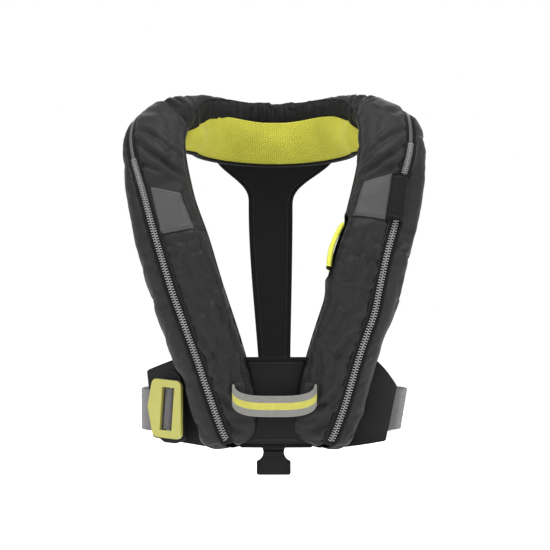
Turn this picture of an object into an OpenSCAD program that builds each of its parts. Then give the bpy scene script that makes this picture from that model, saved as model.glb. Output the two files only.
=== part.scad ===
// Inflatable life jacket, worn shape: two padded lobes joined behind the neck, a chest panel,
// a waist belt with a metal front buckle, a back strap, and the inflation parts inside the covers.
// +X is the wearer's left, -Y is forward, +Z is up. The origin is the middle of the neck opening,
// level with the place where the collar rests on the shoulders.

/* [Covers] */
// Wall of the outer covers
cover_wall = 2; // [1.5:0.1:2.2]
// Squareness of a lobe's cross-section, where 2 is an ellipse
section_power = 2.5; // [2.3:0.05:2.7]
// Width of the zip tape across a cover
zip_width = 11; // [9:0.5:12]

/* [Belt] */
// Width of the waist belt webbing
belt_w = 50; // [45:1:50]
// Thickness of the belt webbing
belt_t = 2.4; // [1.8:0.1:2.6]
// Height of the middle of the belt
belt_z = -308; // [-311:1:-305]

/* [Harness loop] */
// Width of the loop's webbing
loop_w = 25; // [20:1:26]
// Thickness of the loop's webbing
loop_t = 3; // [2:0.1:3.5]
// How far the loop bows forward of its sewn ends
loop_reach = 18; // [15:1:21]

/* [Front buckle] */
// Length of the buckle frame
buckle_l = 70; // [66:1:72]
// Thickness of the buckle frame
buckle_t = 5; // [4:0.5:5.5]

/* [Inflator] */
// Radius of the gas cylinder
cylinder_r = 16; // [14:0.5:16]
// Length of the gas cylinder's straight wall
cylinder_l = 96; // [80:1:100]

/* [Hidden] */

black = [0.13, 0.13, 0.135];
charcoal = [0.19, 0.19, 0.195];
lime = [0.84, 0.83, 0.25];
webbing_grey = [0.42, 0.41, 0.43];

// Centre line of one lobe from its lower end to the middle of the collar, on the wearer's left.
// Each row: centre x, y, z, outward direction x, y, z, half width, half thickness, place of the
// zip across the width as a share of the half width.
stations = [
    [48, -127, -349, 0.06, -1, -0.10, 38, 23, 0.42],
    [64, -131, -298, 0.14, -1, -0.04, 42, 26, 0.42],
    [82, -131, -234, 0.16, -1, 0.00, 42, 27, 0.50],
    [102, -128, -174, 0.18, -1, 0.05, 42.5, 27, 0.45],
    [118, -122, -114, 0.20, -1, 0.14, 42, 27, 0.43],
    [134, -106, -54, 0.22, -1, 0.32, 40, 26, 0.49],
    [143.5, -76, 3, 0.32, -0.85, 0.62, 39, 25, 0.66],
    [138, -29.7, 42.3, 0.32, -0.25, 1, 38, 21, 0.74],
    [113, 25.5, 55.4, 0.35, 0.40, 0.90, 38, 18, 0.78],
    [72.3, 62.8, 47.5, 0.28, 0.90, 0.50, 38, 18, 0.80],
    [35, 80, 41, 0.10, 1, 0.30, 37, 18, 0.80],
    [0, 86, 38, 0, 1, 0.25, 36.5, 18, 0.80]
];
last = len(stations) - 1;
lobe_end_u = 8.3;
collar_gap_u = 0.015;

// Lobe asymmetry: the side that holds the inflator sits further out at the chest and further in
// at the shoulder, and swells on its neck edge round the pull handle.
lobe_shift = 2;
shoulder_shift = -1.3;
shoulder_spread = 1.4;
handle_swell = 2.2;

// Frame of the inflator, which lies along the straight stretch of the left lobe
inflator_z = -152;
inflator_across = -19;
tube_across = -28;

// The right lobe gives way to the buckle beside it: half of how far its outer edge moves in
buckle_give = 2.2;

// Buckle on the wearer's right: middle of the frame, turn about Z and lean in its own plane
buckle_pos = [-127, -122, -305];
buckle_turn = -30;
buckle_lean = 4.5;

// Belt route seen from above, on the wearer's left, from the front round to the middle of the back
belt_route = [[118, -108], [140, -97], [155, -76], [162.5, -35], [156, 20], [125, 74], [66, 104], [0, 112]];

belt_mid_y = belt_route[len(belt_route) - 1][1];

loop_hinge = [0, -160, -272];
loop_half = 49;
loop_drop = 0.78;

crotch_z = -344;
crotch_y = -122;

function mix(a, b, t) = a + (b - a) * t;
function clamp01(x) = max(0, min(1, x));
function ease(e0, e1, x) = let (t = clamp01((x - e0) / (e1 - e0))) t * t * (3 - 2 * t);
function unit(v) = v / norm(v);
function spow(x, p) = sign(x) * pow(abs(x), p);

// Smooth curve through a table of rows
function curve4(p0, p1, p2, p3, t) =
    0.5 * (2 * p1 + (p2 - p0) * t + (2 * p0 - 5 * p1 + 4 * p2 - p3) * t * t
        + (3 * p1 - p0 - 3 * p2 + p3) * t * t * t);
function mirrored(r) = [-r[0], r[1], r[2], -r[3], r[4], r[5], r[6], r[7], r[8]];
function station_row(i) = i > last ? mirrored(stations[2 * last - i]) : stations[max(0, i)];
function station(u) = let (i = floor(u), t = u - i)
    curve4(station_row(i - 1), station_row(i), station_row(i + 1), station_row(i + 2), t);

// How much a lobe's end closes over the last stretch
function end_close(u) = u >= 0.55 ? 1 : sqrt(max(0.03, 1 - pow(1 - u / 0.55, 2)));
function shift_at(u, side) = side * (lobe_shift * (1 - ease(2.6, 4.2, u))
    + shoulder_shift * ease(3.8, 4.8, u) * (1 - ease(6.2, 7.4, u)));
function swell_at(u, side) = side < 0 ? 0 : handle_swell * ease(2.7, 3.3, u) * (1 - ease(3.7, 4.6, u));
function spread_at(u, side) = side * shoulder_spread * ease(4, 5, u) * (1 - ease(6.4, 7.6, u));

function give_at(u, side) = side > 0 ? 0 : buckle_give * ease(0.3, 0.8, u) * (1 - ease(1.5, 1.9, u));
// How far each lobe's zip is drawn towards the neck edge, as a share of the half width
function zip_draw(u, side) = side > 0
    ? (0.09 + 0.06 * ease(0.9, 1.9, u) * (1 - ease(2.1, 3, u)) + 0.165 * ease(4.5, 5.4, u))
        * (1 - ease(6.5, 8, u))
    : (0.07 + 0.18 * (1 - ease(1.4, 4.2, u))) * (1 - ease(5.4, 6.6, u));

// Frame at u: [centre, across, outward, half width, half thickness, zip share]
function frame_at(u, side) =
    let (
        s = station(u),
        ahead = station(u + 0.02),
        behind = station(u - 0.02),
        along = unit([for (k = [0:2]) ahead[k] - behind[k]]),
        n0 = [s[3], s[4], s[5]],
        n = unit(n0 - (n0 * along) * along),
        across = cross(along, n),
        swell = swell_at(u, side),
        give = give_at(u, side),
        half = s[6] * end_close(u) + spread_at(u, side)
    )
    [[s[0] + shift_at(u, side), s[1], s[2]] - (swell + give) * across, across, n,
     half + swell - give, s[7] * end_close(u), (s[8] * half + give) / (half - give) - zip_draw(u, side)];

// Point of the cross-section: angle 0 is the outer edge, 90 the outward face, 180 the neck edge
function section_at(f, angle, off) =
    f[0] + (f[3] + off) * spow(cos(angle), 2 / section_power) * f[1]
         + (f[4] + off) * spow(sin(angle), 2 / section_power) * f[2];
// Angle of a place across the outward face, as a share of the half width
function angle_of(share) = share >= 0 ? acos(pow(min(1, share), section_power / 2))
                                      : 180 - acos(pow(min(1, -share), section_power / 2));
function flip_x(p, side) = [p[0] * side, p[1], p[2]];

// Solid between rings of points that all have the same even count. Its ends are closed by strips
// between the first half of a ring and the second.
module ring_solid(rings, turned = false) {
    m = len(rings[0]);
    n = len(rings);
    sides = [for (i = [0:n - 2]) for (j = [0:m - 1]) let (
        a = i * m + j,
        b = i * m + (j + 1) % m,
        c = a + m,
        d = b + m
    ) each [[a, b, d], [a, d, c]]];
    end = (n - 1) * m;
    strip = [for (j = [0:m / 2 - 2]) each [[j, j + 1, m - 2 - j], [j, m - 2 - j, m - 1 - j]]];
    first = [for (f = strip) [f[2], f[1], f[0]]];
    final = [for (f = strip) [for (k = f) end + k]];
    faces = concat(sides, first, final);
    polyhedron(
        points = [for (r = rings) each r],
        faces = turned ? faces : [for (f = faces) [for (k = [len(f) - 1:-1:0]) f[k]]],
        convexity = 8
    );
}

function lobe_steps(u0, u1, n) = [for (i = [0:n]) mix(u0, u1, i / n)];

// Whole cross-section swept along the lobe: a filled envelope
module envelope(u0, u1, n, side, off, count = 24) {
    rings = [for (u = lobe_steps(u0, u1, n)) let (f = frame_at(u, side))
        [for (j = [0:count - 1]) flip_x(section_at(f, 360 * j / count, off), side)]];
    ring_solid(rings, side > 0);
}

// Thin wall between two angles, which may change along the lobe: angles(u) is [from, to]
module sector(us, side, from, to, off_out, off_in, count) {
    rings = [for (i = [0:len(us) - 1]) let (f = frame_at(us[i], side))
        concat(
            [for (j = [0:count]) flip_x(section_at(f, mix(from[i], to[i], j / count), off_out), side)],
            [for (j = [count:-1:0]) flip_x(section_at(f, mix(from[i], to[i], j / count), off_in), side)]
        )];
    ring_solid(rings, side < 0);
}

function zip_share_half(u, side) = zip_width / 2 / frame_at(u, side)[3];
function zip_from(u, side) = let (f = frame_at(u, side))
    angle_of(min(0.985, f[5] + zip_share_half(u, side)));
function zip_to(u, side) = let (f = frame_at(u, side)) angle_of(f[5] - zip_share_half(u, side));

// The slit in the left cover's neck edge where the pull handle sits
slit_from_u = 3.28;
slit_to_u = 4.42;
function slit_open(u, side) = side < 0 ? 0
    : 24 * ease(slit_from_u - 0.12, slit_from_u + 0.02, u) * (1 - ease(slit_to_u - 0.02, slit_to_u + 0.12, u));
seam_gap = 0.6;

lobe_us = concat(
    [0, 0.05, 0.12, 0.22, 0.36, 0.55],
    [for (i = [0:8]) 0.8 + i * 0.27],
    [3.16, 3.3, 3.55, 3.8, 4.05, 4.3, 4.4, 4.54],
    [for (i = [0:9]) 4.8 + i * 0.38],
    [lobe_end_u]
);

module cover_front(side) {
    color(charcoal) sector(lobe_us, side,
        [for (u = lobe_us) zip_to(u, side) + seam_gap],
        [for (u = lobe_us) 180 - seam_gap / 2 - slit_open(u, side)],
        0, -cover_wall, 12);
}

module cover_back(side) {
    color(black) sector(lobe_us, side,
        [for (u = lobe_us) 180 + seam_gap / 2 + slit_open(u, side)],
        [for (u = lobe_us) 360 + zip_from(u, side) - seam_gap],
        0, -cover_wall, 22);
}

collar_us = [for (i = [0:20]) mix(lobe_end_u + collar_gap_u, 2 * last - lobe_end_u - collar_gap_u, i / 20)];
module collar_cover() {
    color(charcoal) sector(collar_us, 1,
        [for (u = collar_us) zip_to(u, 1) + seam_gap],
        [for (u = collar_us) 360 + zip_from(u, 1) - seam_gap],
        0, -cover_wall, 28);
}

zip_us = [for (i = [0:34]) mix(0.2, lobe_end_u, i / 34)];
module zip(side) {
    color("dimgray") sector(zip_us, side,
        [for (u = zip_us) zip_from(u, side)],
        [for (u = zip_us) zip_to(u, side)],
        0.9, -0.9, 3);
}
module zip_collar() {
    color("dimgray") sector(collar_us, 1,
        [for (u = collar_us) zip_from(u, 1)],
        [for (u = collar_us) zip_to(u, 1)],
        0.9, -0.9, 3);
}

// Fabric tunnel over the left zip that hides the slider. Each point round it is a place across the
// cover, as a share of the half width from the middle of the zip, and a height over the cover.
garage_us = [for (i = [0:6]) mix(4.55, 5.36, i / 6)];
garage_outer = [[0.21, 0.3], [0.20, 9], [0.09, 9], [-0.02, 9], [-0.13, 9], [-0.25, 9], [-0.31, 0.3]];
garage_inner = [[0.17, 0.3], [0.16, 7.4], [0.07, 7.4], [-0.02, 7.4], [-0.11, 7.4], [-0.21, 7.4], [-0.27, 0.3]];
module zip_garage() {
    rings = [for (u = garage_us) let (f = frame_at(u, 1)) concat(
        [for (q = garage_outer) section_at(f, angle_of(f[5] + q[0]), q[1])],
        [for (j = [len(garage_inner) - 1:-1:0]) let (q = garage_inner[j]) section_at(f, angle_of(f[5] + q[0]), q[1])]
    )];
    color(black) ring_solid(rings);
}

// Corners of the patches (left, then right): lower outer, lower inner, upper outer, upper inner,
// each as a place along the lobe and a share of its half width
patch_corners = [
    [[4.52, 0.03], [4.46, -0.86], [5.36, -0.05], [5.12, -0.77]],
    [[4.28, 0.21], [4.22, -0.77], [5.14, 0.16], [4.90, -0.68]]
];
function patch_point(side, up, across, off) = let (
        c = patch_corners[side > 0 ? 0 : 1],
        q = mix(mix(c[0], c[1], across), mix(c[2], c[3], across), up),
        f = frame_at(q[0], side)
    ) flip_x(section_at(f, angle_of(q[1]), off), side);
module reflective_patch(side) {
    rings = [for (i = [0:8]) concat(
        [for (j = [0:8]) patch_point(side, i / 8, j / 8, 1.0)],
        [for (j = [8:-1:0]) patch_point(side, i / 8, j / 8, 0.2)]
    )];
    color("gray") ring_solid(rings, side < 0);
}

// Padded mesh on the neck side of the collar, as a band round the neck
pad_reach = 112;
// Towards its front ends the pad spreads under the lobes
function pad_point(turn, level, depth) =
    let (
        c = cos(turn),
        t = abs(turn),
        spread = ease(84, 112, t),
        top = 48 + 7 * ease(5, 45, t) - 29 * ease(78, 112, t),
        low = -4.5 - 3 * pow(max(0, c), 2) + 11 * (1 - c),
        z = mix(low, top, level),
        reach = 7 * (1 - level) - depth - 5 * sin(180 * level)
    )
    [(96 + 28 * spread + reach) * sin(turn), -8 + (64 + 35 * spread + reach) * c, z];
pad_turns = [for (i = [0:24]) mix(-pad_reach, pad_reach, i / 24)];
pad_t = 7;
module pad_band(low, high, inner, outer, count) {
    rings = [for (turn = pad_turns) concat(
        [for (j = [0:count]) pad_point(turn, mix(low, high, j / count), inner)],
        [for (j = [count:-1:0]) pad_point(turn, mix(low, high, j / count), outer)]
    )];
    ring_solid(rings, true);
}
module collar_envelope(off) {
    envelope(lobe_end_u - 2.8, 2 * last - lobe_end_u + 2.8, 40, 1, off, 20);
}
module neck_pad() {
    color(lime) difference() {
        pad_band(0.03, 1, pad_t, 0, 6);
        collar_envelope(0.8);
    }
}
// Black edge tape under the pad
module neck_binding() {
    color(black) difference() {
        pad_band(-0.05, 0.025, pad_t - 1.5, 1, 1);
        collar_envelope(0.8);
    }
}

// Chest panel between the lobes: its edges lie along the lobes' inner faces
panel_low_u = -0.05;
panel_high_u = 1.70;
panel_gap = 0.5;
panel_us = [for (i = [0:14]) mix(panel_low_u, panel_high_u, i / 14)];
// Angle on the lobe where the panel's front meets it: nearer the face lower down
function panel_angle(u) = mix(143, 166, ease(0.2, 1.6, u));
function panel_edge(u, side, back) = let (f = frame_at(max(0, u), side))
    flip_x(section_at(f, panel_angle(u) + (back ? 18 : 0), panel_gap), side) + [0, 0, 50 * min(0, u)];
// Point across the panel, from the right lobe at 0 to the left lobe at 1
function panel_point(u, across, back) = let (
        p = panel_edge(u, -1, back),
        q = panel_edge(u, 1, back),
        crown = 4 * across * (1 - across) * 5 * ease(1.7, 1.2, u)
    ) mix(p, q, across) - [0, crown, 0];
module chest_panel() {
    rings = [for (u = panel_us) concat(
        [for (j = [0:12]) panel_point(u, j / 12, false)],
        [for (j = [12:-1:0]) panel_point(u, j / 12, true)]
    )];
    color(black) ring_solid(rings);
}

function belt_row(i) = let (n = len(belt_route) - 1)
    i > n ? [-belt_route[max(0, 2 * n - i)][0], belt_route[max(0, 2 * n - i)][1]]
          : belt_route[max(0, i)];
function belt_at(u) = let (i = floor(u), t = u - i)
    curve4(belt_row(i - 1), belt_row(i), belt_row(i + 1), belt_row(i + 2), t);
// On the left side the belt's lower edge sits further in, and its end tucks in behind the wing
function belt_lean(u) = 8 * ease(0.6, 1.6, u) * (1 - ease(4, 6, u));
function belt_tuck(u) = 6 * (1 - ease(1.0, 2.0, u));
function belt_out(u) = let (d = unit(belt_at(u + 0.02) - belt_at(u - 0.02))) [d[1], -d[0], 0];
// Flat band standing on edge along the belt's route, moved outward by off
module belt_band(u0, u1, n, low, high, off_out, off_in) {
    rings = [for (i = [0:n]) let (
        u = mix(u0, u1, i / n),
        out = belt_out(u),
        p = concat(belt_at(u), [0]) - belt_tuck(u) * out,
        foot = -belt_lean(u) * out
    ) [
        [p[0], p[1], low] + off_out * out + foot,
        [p[0], p[1], high] + off_out * out,
        [p[0], p[1], high] + off_in * out,
        [p[0], p[1], low] + off_in * out + foot
    ]];
    ring_solid(rings);
}
belt_last_u = 2 * (len(belt_route) - 1);
module belt_webbing() {
    color(webbing_grey)
        belt_band(0.35, belt_last_u - 0.97, 40, belt_z - belt_w / 2, belt_z + belt_w / 2, belt_t / 2, -belt_t / 2);
}

// Fabric wings that run from the lobes' outer edges to the belt
wing_t = 2.6;
wing_off = 1.8;
wing_us = [for (i = [0:10]) mix(0.16, 2.0, i / 10)];
function wing_root(u, side, back) = let (f = frame_at(u, side))
    section_at(f, back ? -52 : -26, wing_off);
// Free edge of a wing: its lower and upper corners, then how far along it a row is
wing_corners = [[[134, -105.5, -343], [147, -96.5, -279]], [[147, -84, -340], [154, -74, -261]]];
function wing_tip(u, side) = let (c = wing_corners[side > 0 ? 0 : 1])
    mix(c[0], c[1], ease(0.1, 2.0, u));
function wing_point(u, side, across, back) = let (
        a = wing_root(u, side, back),
        e = wing_tip(u, side) + (back ? [-0.75, 0.65, 0] * wing_t : [0, 0, 0]),
        bow = 4 * across * (1 - across) * (side > 0 ? 4 : 0.5)
    ) flip_x(mix(a, e, across) + bow * [0.6, -0.8, 0], side);
module side_wing(side) {
    rings = [for (u = wing_us) concat(
        [for (j = [0:8]) wing_point(u, side, j / 8, false)],
        [for (j = [8:-1:0]) wing_point(u, side, j / 8, true)]
    )];
    color(black) ring_solid(rings, side < 0);
}

// Back yoke and strap, on the wearer's back
back_t = 5;
function strap_y(z) = 81 + 28 * ease(20, -200, z);
function yoke_half(z) = 26 + 48 * pow(ease(-56, 8, z), 1.6);
function strap_half(z) = mix(26, 16.5, ease(-57, -334, z));
function strap_centre(z) = z > -57 ? -5 * ease(8, -57, z) : mix(-5, 1, ease(-57, -334, z));
// Upright sheet: one row for each height, with its half width there
module back_sheet(heights, halves, t, off) {
    rings = [for (i = [0:len(heights) - 1]) let (z = heights[i], h = halves[i], c = strap_centre(z))
        [for (q = [[-1, 0], [1, 0], [1, 1], [-1, 1]])
            [c + q[0] * h, strap_y(z) + off + q[1] * t, z]]];
    ring_solid(rings, true);
}
yoke_zs = [for (i = [0:10]) mix(0, -56, i / 10)];
strap_zs = [for (i = [0:8]) mix(-56.2, belt_z + belt_w / 2 + 6, i / 8)];
module back_yoke() {
    color(black) back_sheet(yoke_zs, [for (z = yoke_zs) yoke_half(z)], back_t, 0);
}
// The strap ends in a sleeve round the belt
sleeve_half = 17;
sleeve_out = 9.2;
module back_strap() {
    top = belt_z + belt_w / 2 + 6;
    color(black) back_sheet(strap_zs, [for (z = strap_zs) strap_half(z)], back_t, 0);
    color(black) difference() {
        translate([1 - sleeve_half, belt_mid_y - sleeve_out / 2, belt_z - belt_w / 2 - 4])
            cube([2 * sleeve_half, sleeve_out, belt_w + 10.1]);
        translate([-sleeve_half - 1, belt_mid_y - belt_t / 2 - 0.9, belt_z - belt_w / 2 - 0.5])
            cube([2 * sleeve_half + 4, belt_t + 1.5, belt_w + 1]);
    }
}

// Places things in the buckle's own frame: X across, Y outward from the wearer, Z along the slot
module at_buckle() {
    translate(buckle_pos) rotate([0, 0, buckle_turn]) rotate([0, buckle_lean, 0]) rotate([90, 0, 0])
        children();
}
module rounded(points, r) {
    offset(r = r) offset(delta = -r) polygon(points);
}
slot_l = 52;
slot_w = 17;
bar_r = 3;
turn_t = 4;
module buckle_frame() {
    color(lime) at_buckle() difference() {
        linear_extrude(buckle_t) rounded([
            [-23.5, buckle_l / 2], [17, buckle_l / 2], [22.5, -buckle_l / 2], [-17, -buckle_l / 2],
            [-27.5, 1]
        ], 7);
        translate([-slot_w / 2, -slot_l / 2, -1]) cube([slot_w, slot_l, buckle_t + 2]);
    }
    // ears that carry the bar behind the slot
    color(lime) at_buckle() for (end = [-1, 1])
        translate([0, end * (slot_l / 2 + 3), -3.2]) rotate([90, 0, 0]) difference() {
            translate([-4.5, -3.4, -1.5]) cube([9, 6.6, 3]);
            cylinder(h = 4, r = bar_r, center = true, $fn = 32);
        }
}
// Steel bar across the back of the frame
module buckle_bar() {
    color("silver") at_buckle() translate([0, 0, -3.2]) rotate([90, 0, 0])
        cylinder(h = slot_l + 9, r = bar_r, center = true, $fn = 32);
}
// End of the belt sewn round the bar
module belt_buckle_turn() {
    color(webbing_grey) at_buckle() translate([0, 0, -3.2]) rotate([90, 0, 0]) difference() {
        union() {
            cylinder(h = belt_w, r = bar_r + 0.3 + turn_t, center = true, $fn = 40);
            translate([-22, -bar_r - 0.3 - turn_t, -belt_w / 2]) cube([22, belt_t, belt_w]);
        }
        cylinder(h = belt_w + 2, r = bar_r + 0.3, center = true, $fn = 40);
    }
}
// Stiff plate on the right wing behind the buckle
module buckle_receiver() {
    color([0.1, 0.1, 0.13]) at_buckle() translate([0, 0, -13.2]) linear_extrude(2.4) rounded([
        [-9, 45], [-1, 45], [7, 38], [9, 20], [17, -10], [19, -36], [6, -42], [-10, -42], [-21, -36], [-21, 36]
    ], 4);
}

// Soft loop on the chest panel: t runs from the left sewn end round the front (90) to the right
function loop_point(t) = [
    loop_half * spow(cos(t), 0.6),
    loop_hinge[1] - 2 - loop_reach * spow(sin(t), 0.75),
    loop_hinge[2] - 1 - loop_w / 2 - loop_drop * loop_reach * spow(sin(t), 0.9)
];
loop_ts = [for (i = [0:26]) mix(2, 178, i / 26)];
module loop_band(low, high, out, inn) {
    rings = [for (t = loop_ts) let (
        p = loop_point(t),
        d = unit(loop_point(t + 1) - loop_point(t - 1)),
        o = unit([d[1], -d[0], 0])
    ) [p + out * o + [0, 0, low], p + out * o + [0, 0, high], p + inn * o + [0, 0, high], p + inn * o + [0, 0, low]]];
    ring_solid(rings);
}
module harness_loop() {
    color(webbing_grey) loop_band(-loop_w / 2, loop_w / 2, loop_t / 2, -loop_t / 2);
}
anchor_t = 1.1;
module loop_anchors() {
    color(black) for (side = [-1, 1])
        translate([side * 42, loop_hinge[1] + anchor_t / 2, loop_hinge[2] - 14])
            cube([12, anchor_t, 26], center = true);
}

// Crotch strap buckle: socket half with its webbing bar, open at the lower end
crotch_bar = [-1, crotch_y, crotch_z + 2];
crotch_t = 12;
module at_crotch() {
    translate(crotch_bar) rotate([90, 0, 0]) children();
}
module crotch_buckle() {
    color(black) at_crotch() difference() {
        translate([0, 0, -crotch_t / 2]) linear_extrude(crotch_t) difference() {
            offset(r = 2.5) offset(delta = -2.5) polygon([
                [-16.5, 4], [16.5, 4], [16.5, -8], [20.5, -24], [20.5, -42], [-20.5, -42],
                [-20.5, -24], [-16.5, -8]
            ]);
            for (side = [-1, 1]) translate([side * 23.5, -15]) circle(r = 11, $fn = 48);
        }
        // socket for the plug, then the room for the webbing round the bar
        translate([-14, -43, -3.5]) cube([28, 18, 7]);
        difference() {
            translate([-13, -4.6, -7]) cube([26, 12, 14]);
            rotate([0, 90, 0]) cylinder(h = 27, r = 1.8, center = true, $fn = 40);
        }
    }
}
module crotch_web_stub() {
    color(black) at_crotch() difference() {
        union() {
            rotate([0, 90, 0]) cylinder(h = 25, r = 3.9, center = true, $fn = 40);
            translate([-12.5, 0, -3.9]) cube([25, 26, 7.8]);
        }
        rotate([0, 90, 0]) cylinder(h = 26, r = 2.0, center = true, $fn = 40);
        translate([-13, 0, -2.0]) cube([26, 4, 4]);
    }
}

// Folded bladder in each lobe, cut off beside the parts that share its space
bladder_off = -3.6;
module bladder(side) {
    us = [for (i = [0:30]) mix(0.5, lobe_end_u - 0.02, i / 30)];
    rings = [for (u = us) let (
        f = frame_at(u, side),
        edge = mix(-f[3], side > 0 ? 1.5 : -13.5, 1 - ease(5.0, 5.9, u))
    ) [for (j = [0:23]) let (
        p = section_at(f, 15 * j + 2, bladder_off),
        cut = max(0, edge - (p - f[0]) * f[1])
    ) flip_x(p + cut * f[1], side)]];
    color(lime) ring_solid(rings, side < 0);
}
module bladder_collar() {
    color(lime) envelope(lobe_end_u + 0.03, 2 * last - lobe_end_u - 0.03, 16, 1, bladder_off, 16);
}

// Straight frame through the chest stretch of a lobe: X across, Y forward, Z along
chest_low = stations[1];
chest_high = stations[4];
module in_lobe(side, z, across) {
    low = [for (k = [0:2]) chest_low[k]];
    high = [for (k = [0:2]) chest_high[k]];
    along = unit(high - low);
    n0 = [0.18, -1, 0.06];
    n = unit(n0 - (n0 * along) * along);
    b = cross(along, n);
    p = low + (high - low) * ((z - low[2]) / (high[2] - low[2])) + [side * lobe_shift, 0, 0];
    mirror([side < 0 ? 1 : 0, 0, 0]) multmatrix([
        [b[0], n[0], along[0], p[0]],
        [b[1], n[1], along[1], p[1]],
        [b[2], n[2], along[2], p[2]],
        [0, 0, 0, 1]
    ]) translate([across, 0, 0]) children();
}
module at_inflator() {
    in_lobe(1, inflator_z, inflator_across) children();
}
neck_r = 6.5;
body_r = 14;
body_h = 44;
lever_pivot = [-13.5, 6];
module inflator_body() {
    color("dimgray") at_inflator() difference() {
        union() {
            cylinder(h = body_h, r = body_r, $fn = 48);
            translate([-17, -7, 0]) cube([10, 14, 12]);
        }
        translate([0, 0, -1]) cylinder(h = 9, r = neck_r + 0.05, $fn = 48);
        translate([0, 0, 7.9]) cylinder(h = body_h, r = 5, $fn = 48);
        translate([-20, -3, -1]) cube([9.6, 6, body_h + 2]);
        translate([lever_pivot[0], 0, lever_pivot[1]]) rotate([90, 0, 0])
            cylinder(h = 20, r = 1.5, center = true, $fn = 32);
    }
}
module lever_pin() {
    color("silver") at_inflator() translate([lever_pivot[0], 0, lever_pivot[1]]) rotate([90, 0, 0])
        cylinder(h = 13.6, r = 1.5, center = true, $fn = 32);
}
module inflator_lever() {
    color("gold") at_inflator() difference() {
        union() {
            translate([lever_pivot[0], 0, lever_pivot[1]]) rotate([90, 0, 0])
                cylinder(h = 5, r = 3, center = true, $fn = 32);
            translate([lever_pivot[0] - 3, -2.5, lever_pivot[1]]) cube([3.4, 5, 26]);
        }
        translate([lever_pivot[0], 0, lever_pivot[1]]) rotate([90, 0, 0])
            cylinder(h = 8, r = 1.56, center = true, $fn = 32);
        translate([lever_pivot[0] - 1.3, 0, lever_pivot[1] + 22]) rotate([0, 90, 0])
            cylinder(h = 8, r = 1.3, center = true, $fn = 24);
    }
}
module piercing_pin() {
    color("silver") at_inflator() {
        translate([0, 0, 11.3]) cylinder(h = 14.7, r = 1.8, $fn = 32);
        translate([0, 0, 25.9]) cylinder(h = 8, r = 4.95, $fn = 48);
    }
}
module gas_cylinder() {
    color("lightgray") at_inflator() {
        translate([0, 0, -4]) cylinder(h = 11.5, r = neck_r, $fn = 48);
        translate([0, 0, -16]) cylinder(h = 12.1, r1 = cylinder_r, r2 = neck_r + 1, $fn = 48);
        translate([0, 0, -16 - cylinder_l]) cylinder(h = cylinder_l + 0.1, r = cylinder_r, $fn = 48);
        translate([0, 0, -16 - cylinder_l - 5]) cylinder(h = 5.1, r1 = cylinder_r - 5, r2 = cylinder_r, $fn = 48);
    }
}
module cartridge_cap() {
    color("darkgreen") at_inflator() difference() {
        translate([0, 0, body_h + 0.3]) cylinder(h = 17, r = 12.5, $fn = 48);
        for (k = [0:11]) rotate([0, 0, 30 * k]) translate([13, 0, body_h + 3])
            cylinder(h = 20, r = 1.4, $fn = 24);
    }
}

// Handle in the slit of the left cover's neck edge, and the cord to the lever
handle_us = [for (i = [0:12]) mix(slit_from_u + 0.1, slit_to_u - 0.08, i / 12)];
module pull_handle() {
    rings = [for (i = [0:12]) let (
        u = handle_us[i],
        f = frame_at(u, 1),
        proud = 0.5 + 3 * sin(180 * i / 12),
        c = f[0] - (f[3] - 0.5 + proud) * f[1]
    ) [for (q = [[-3, -3], [-1.4, -5.4], [1.4, -5.4], [3, -3], [3, 3], [1.4, 5.4], [-1.4, 5.4], [-3, 3]])
        c + q[0] * f[1] + q[1] * f[2]]];
    color(lime) ring_solid(rings);
}
module trip_cord() {
    color("white") at_inflator() hull() {
        translate([-19.2, 0, 27]) sphere(r = 0.9, $fn = 16);
        translate([-18.4, 0, 27.5]) sphere(r = 0.9, $fn = 16);
    }
}

// Oral tube and whistle in the right lobe
tube_low_z = -225;
tube_l = 104;
module oral_tube() {
    color("dimgray") in_lobe(-1, tube_low_z, tube_across) {
        difference() {
            union() {
                cylinder(h = tube_l, r = 6.5, $fn = 40);
                translate([0, 0, -6]) cylinder(h = 6.1, r = 8, $fn = 40);
                translate([0, 0, 4]) rotate([0, 90, 0]) cylinder(h = 12.4, r = 3.5, $fn = 32);
            }
            translate([0, 0, 12]) cylinder(h = tube_l, r = 4, $fn = 40);
        }
    }
}
module dust_cap() {
    color(lime) in_lobe(-1, tube_low_z, tube_across) difference() {
        translate([0, 0, tube_l - 9]) cylinder(h = 13, r = 8, $fn = 40);
        translate([0, 0, tube_l - 10]) cylinder(h = 11, r = 6.55, $fn = 40);
    }
}
whistle_ring_z = -16;
module whistle() {
    color("orange") in_lobe(-1, tube_low_z, tube_across) difference() {
        union() {
            translate([-5.5, -7, whistle_ring_z - 46]) cube([11, 14, 40]);
            translate([-3, -1.2, whistle_ring_z - 6.1]) cube([6, 2.4, 8]);
        }
        translate([-2.5, -8, whistle_ring_z - 26]) cube([5, 8, 12]);
        translate([0, 0, whistle_ring_z - 2]) rotate([90, 0, 0])
            cylinder(h = 6, r = 1.7, center = true, $fn = 24);
    }
}
module whistle_lanyard() {
    color("white") in_lobe(-1, tube_low_z, tube_across) translate([0, 0, whistle_ring_z + 2.9])
        rotate([90, 0, 90]) rotate_extrude($fn = 40) translate([4.9, 0]) circle(r = 1, $fn = 16);
}

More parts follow.
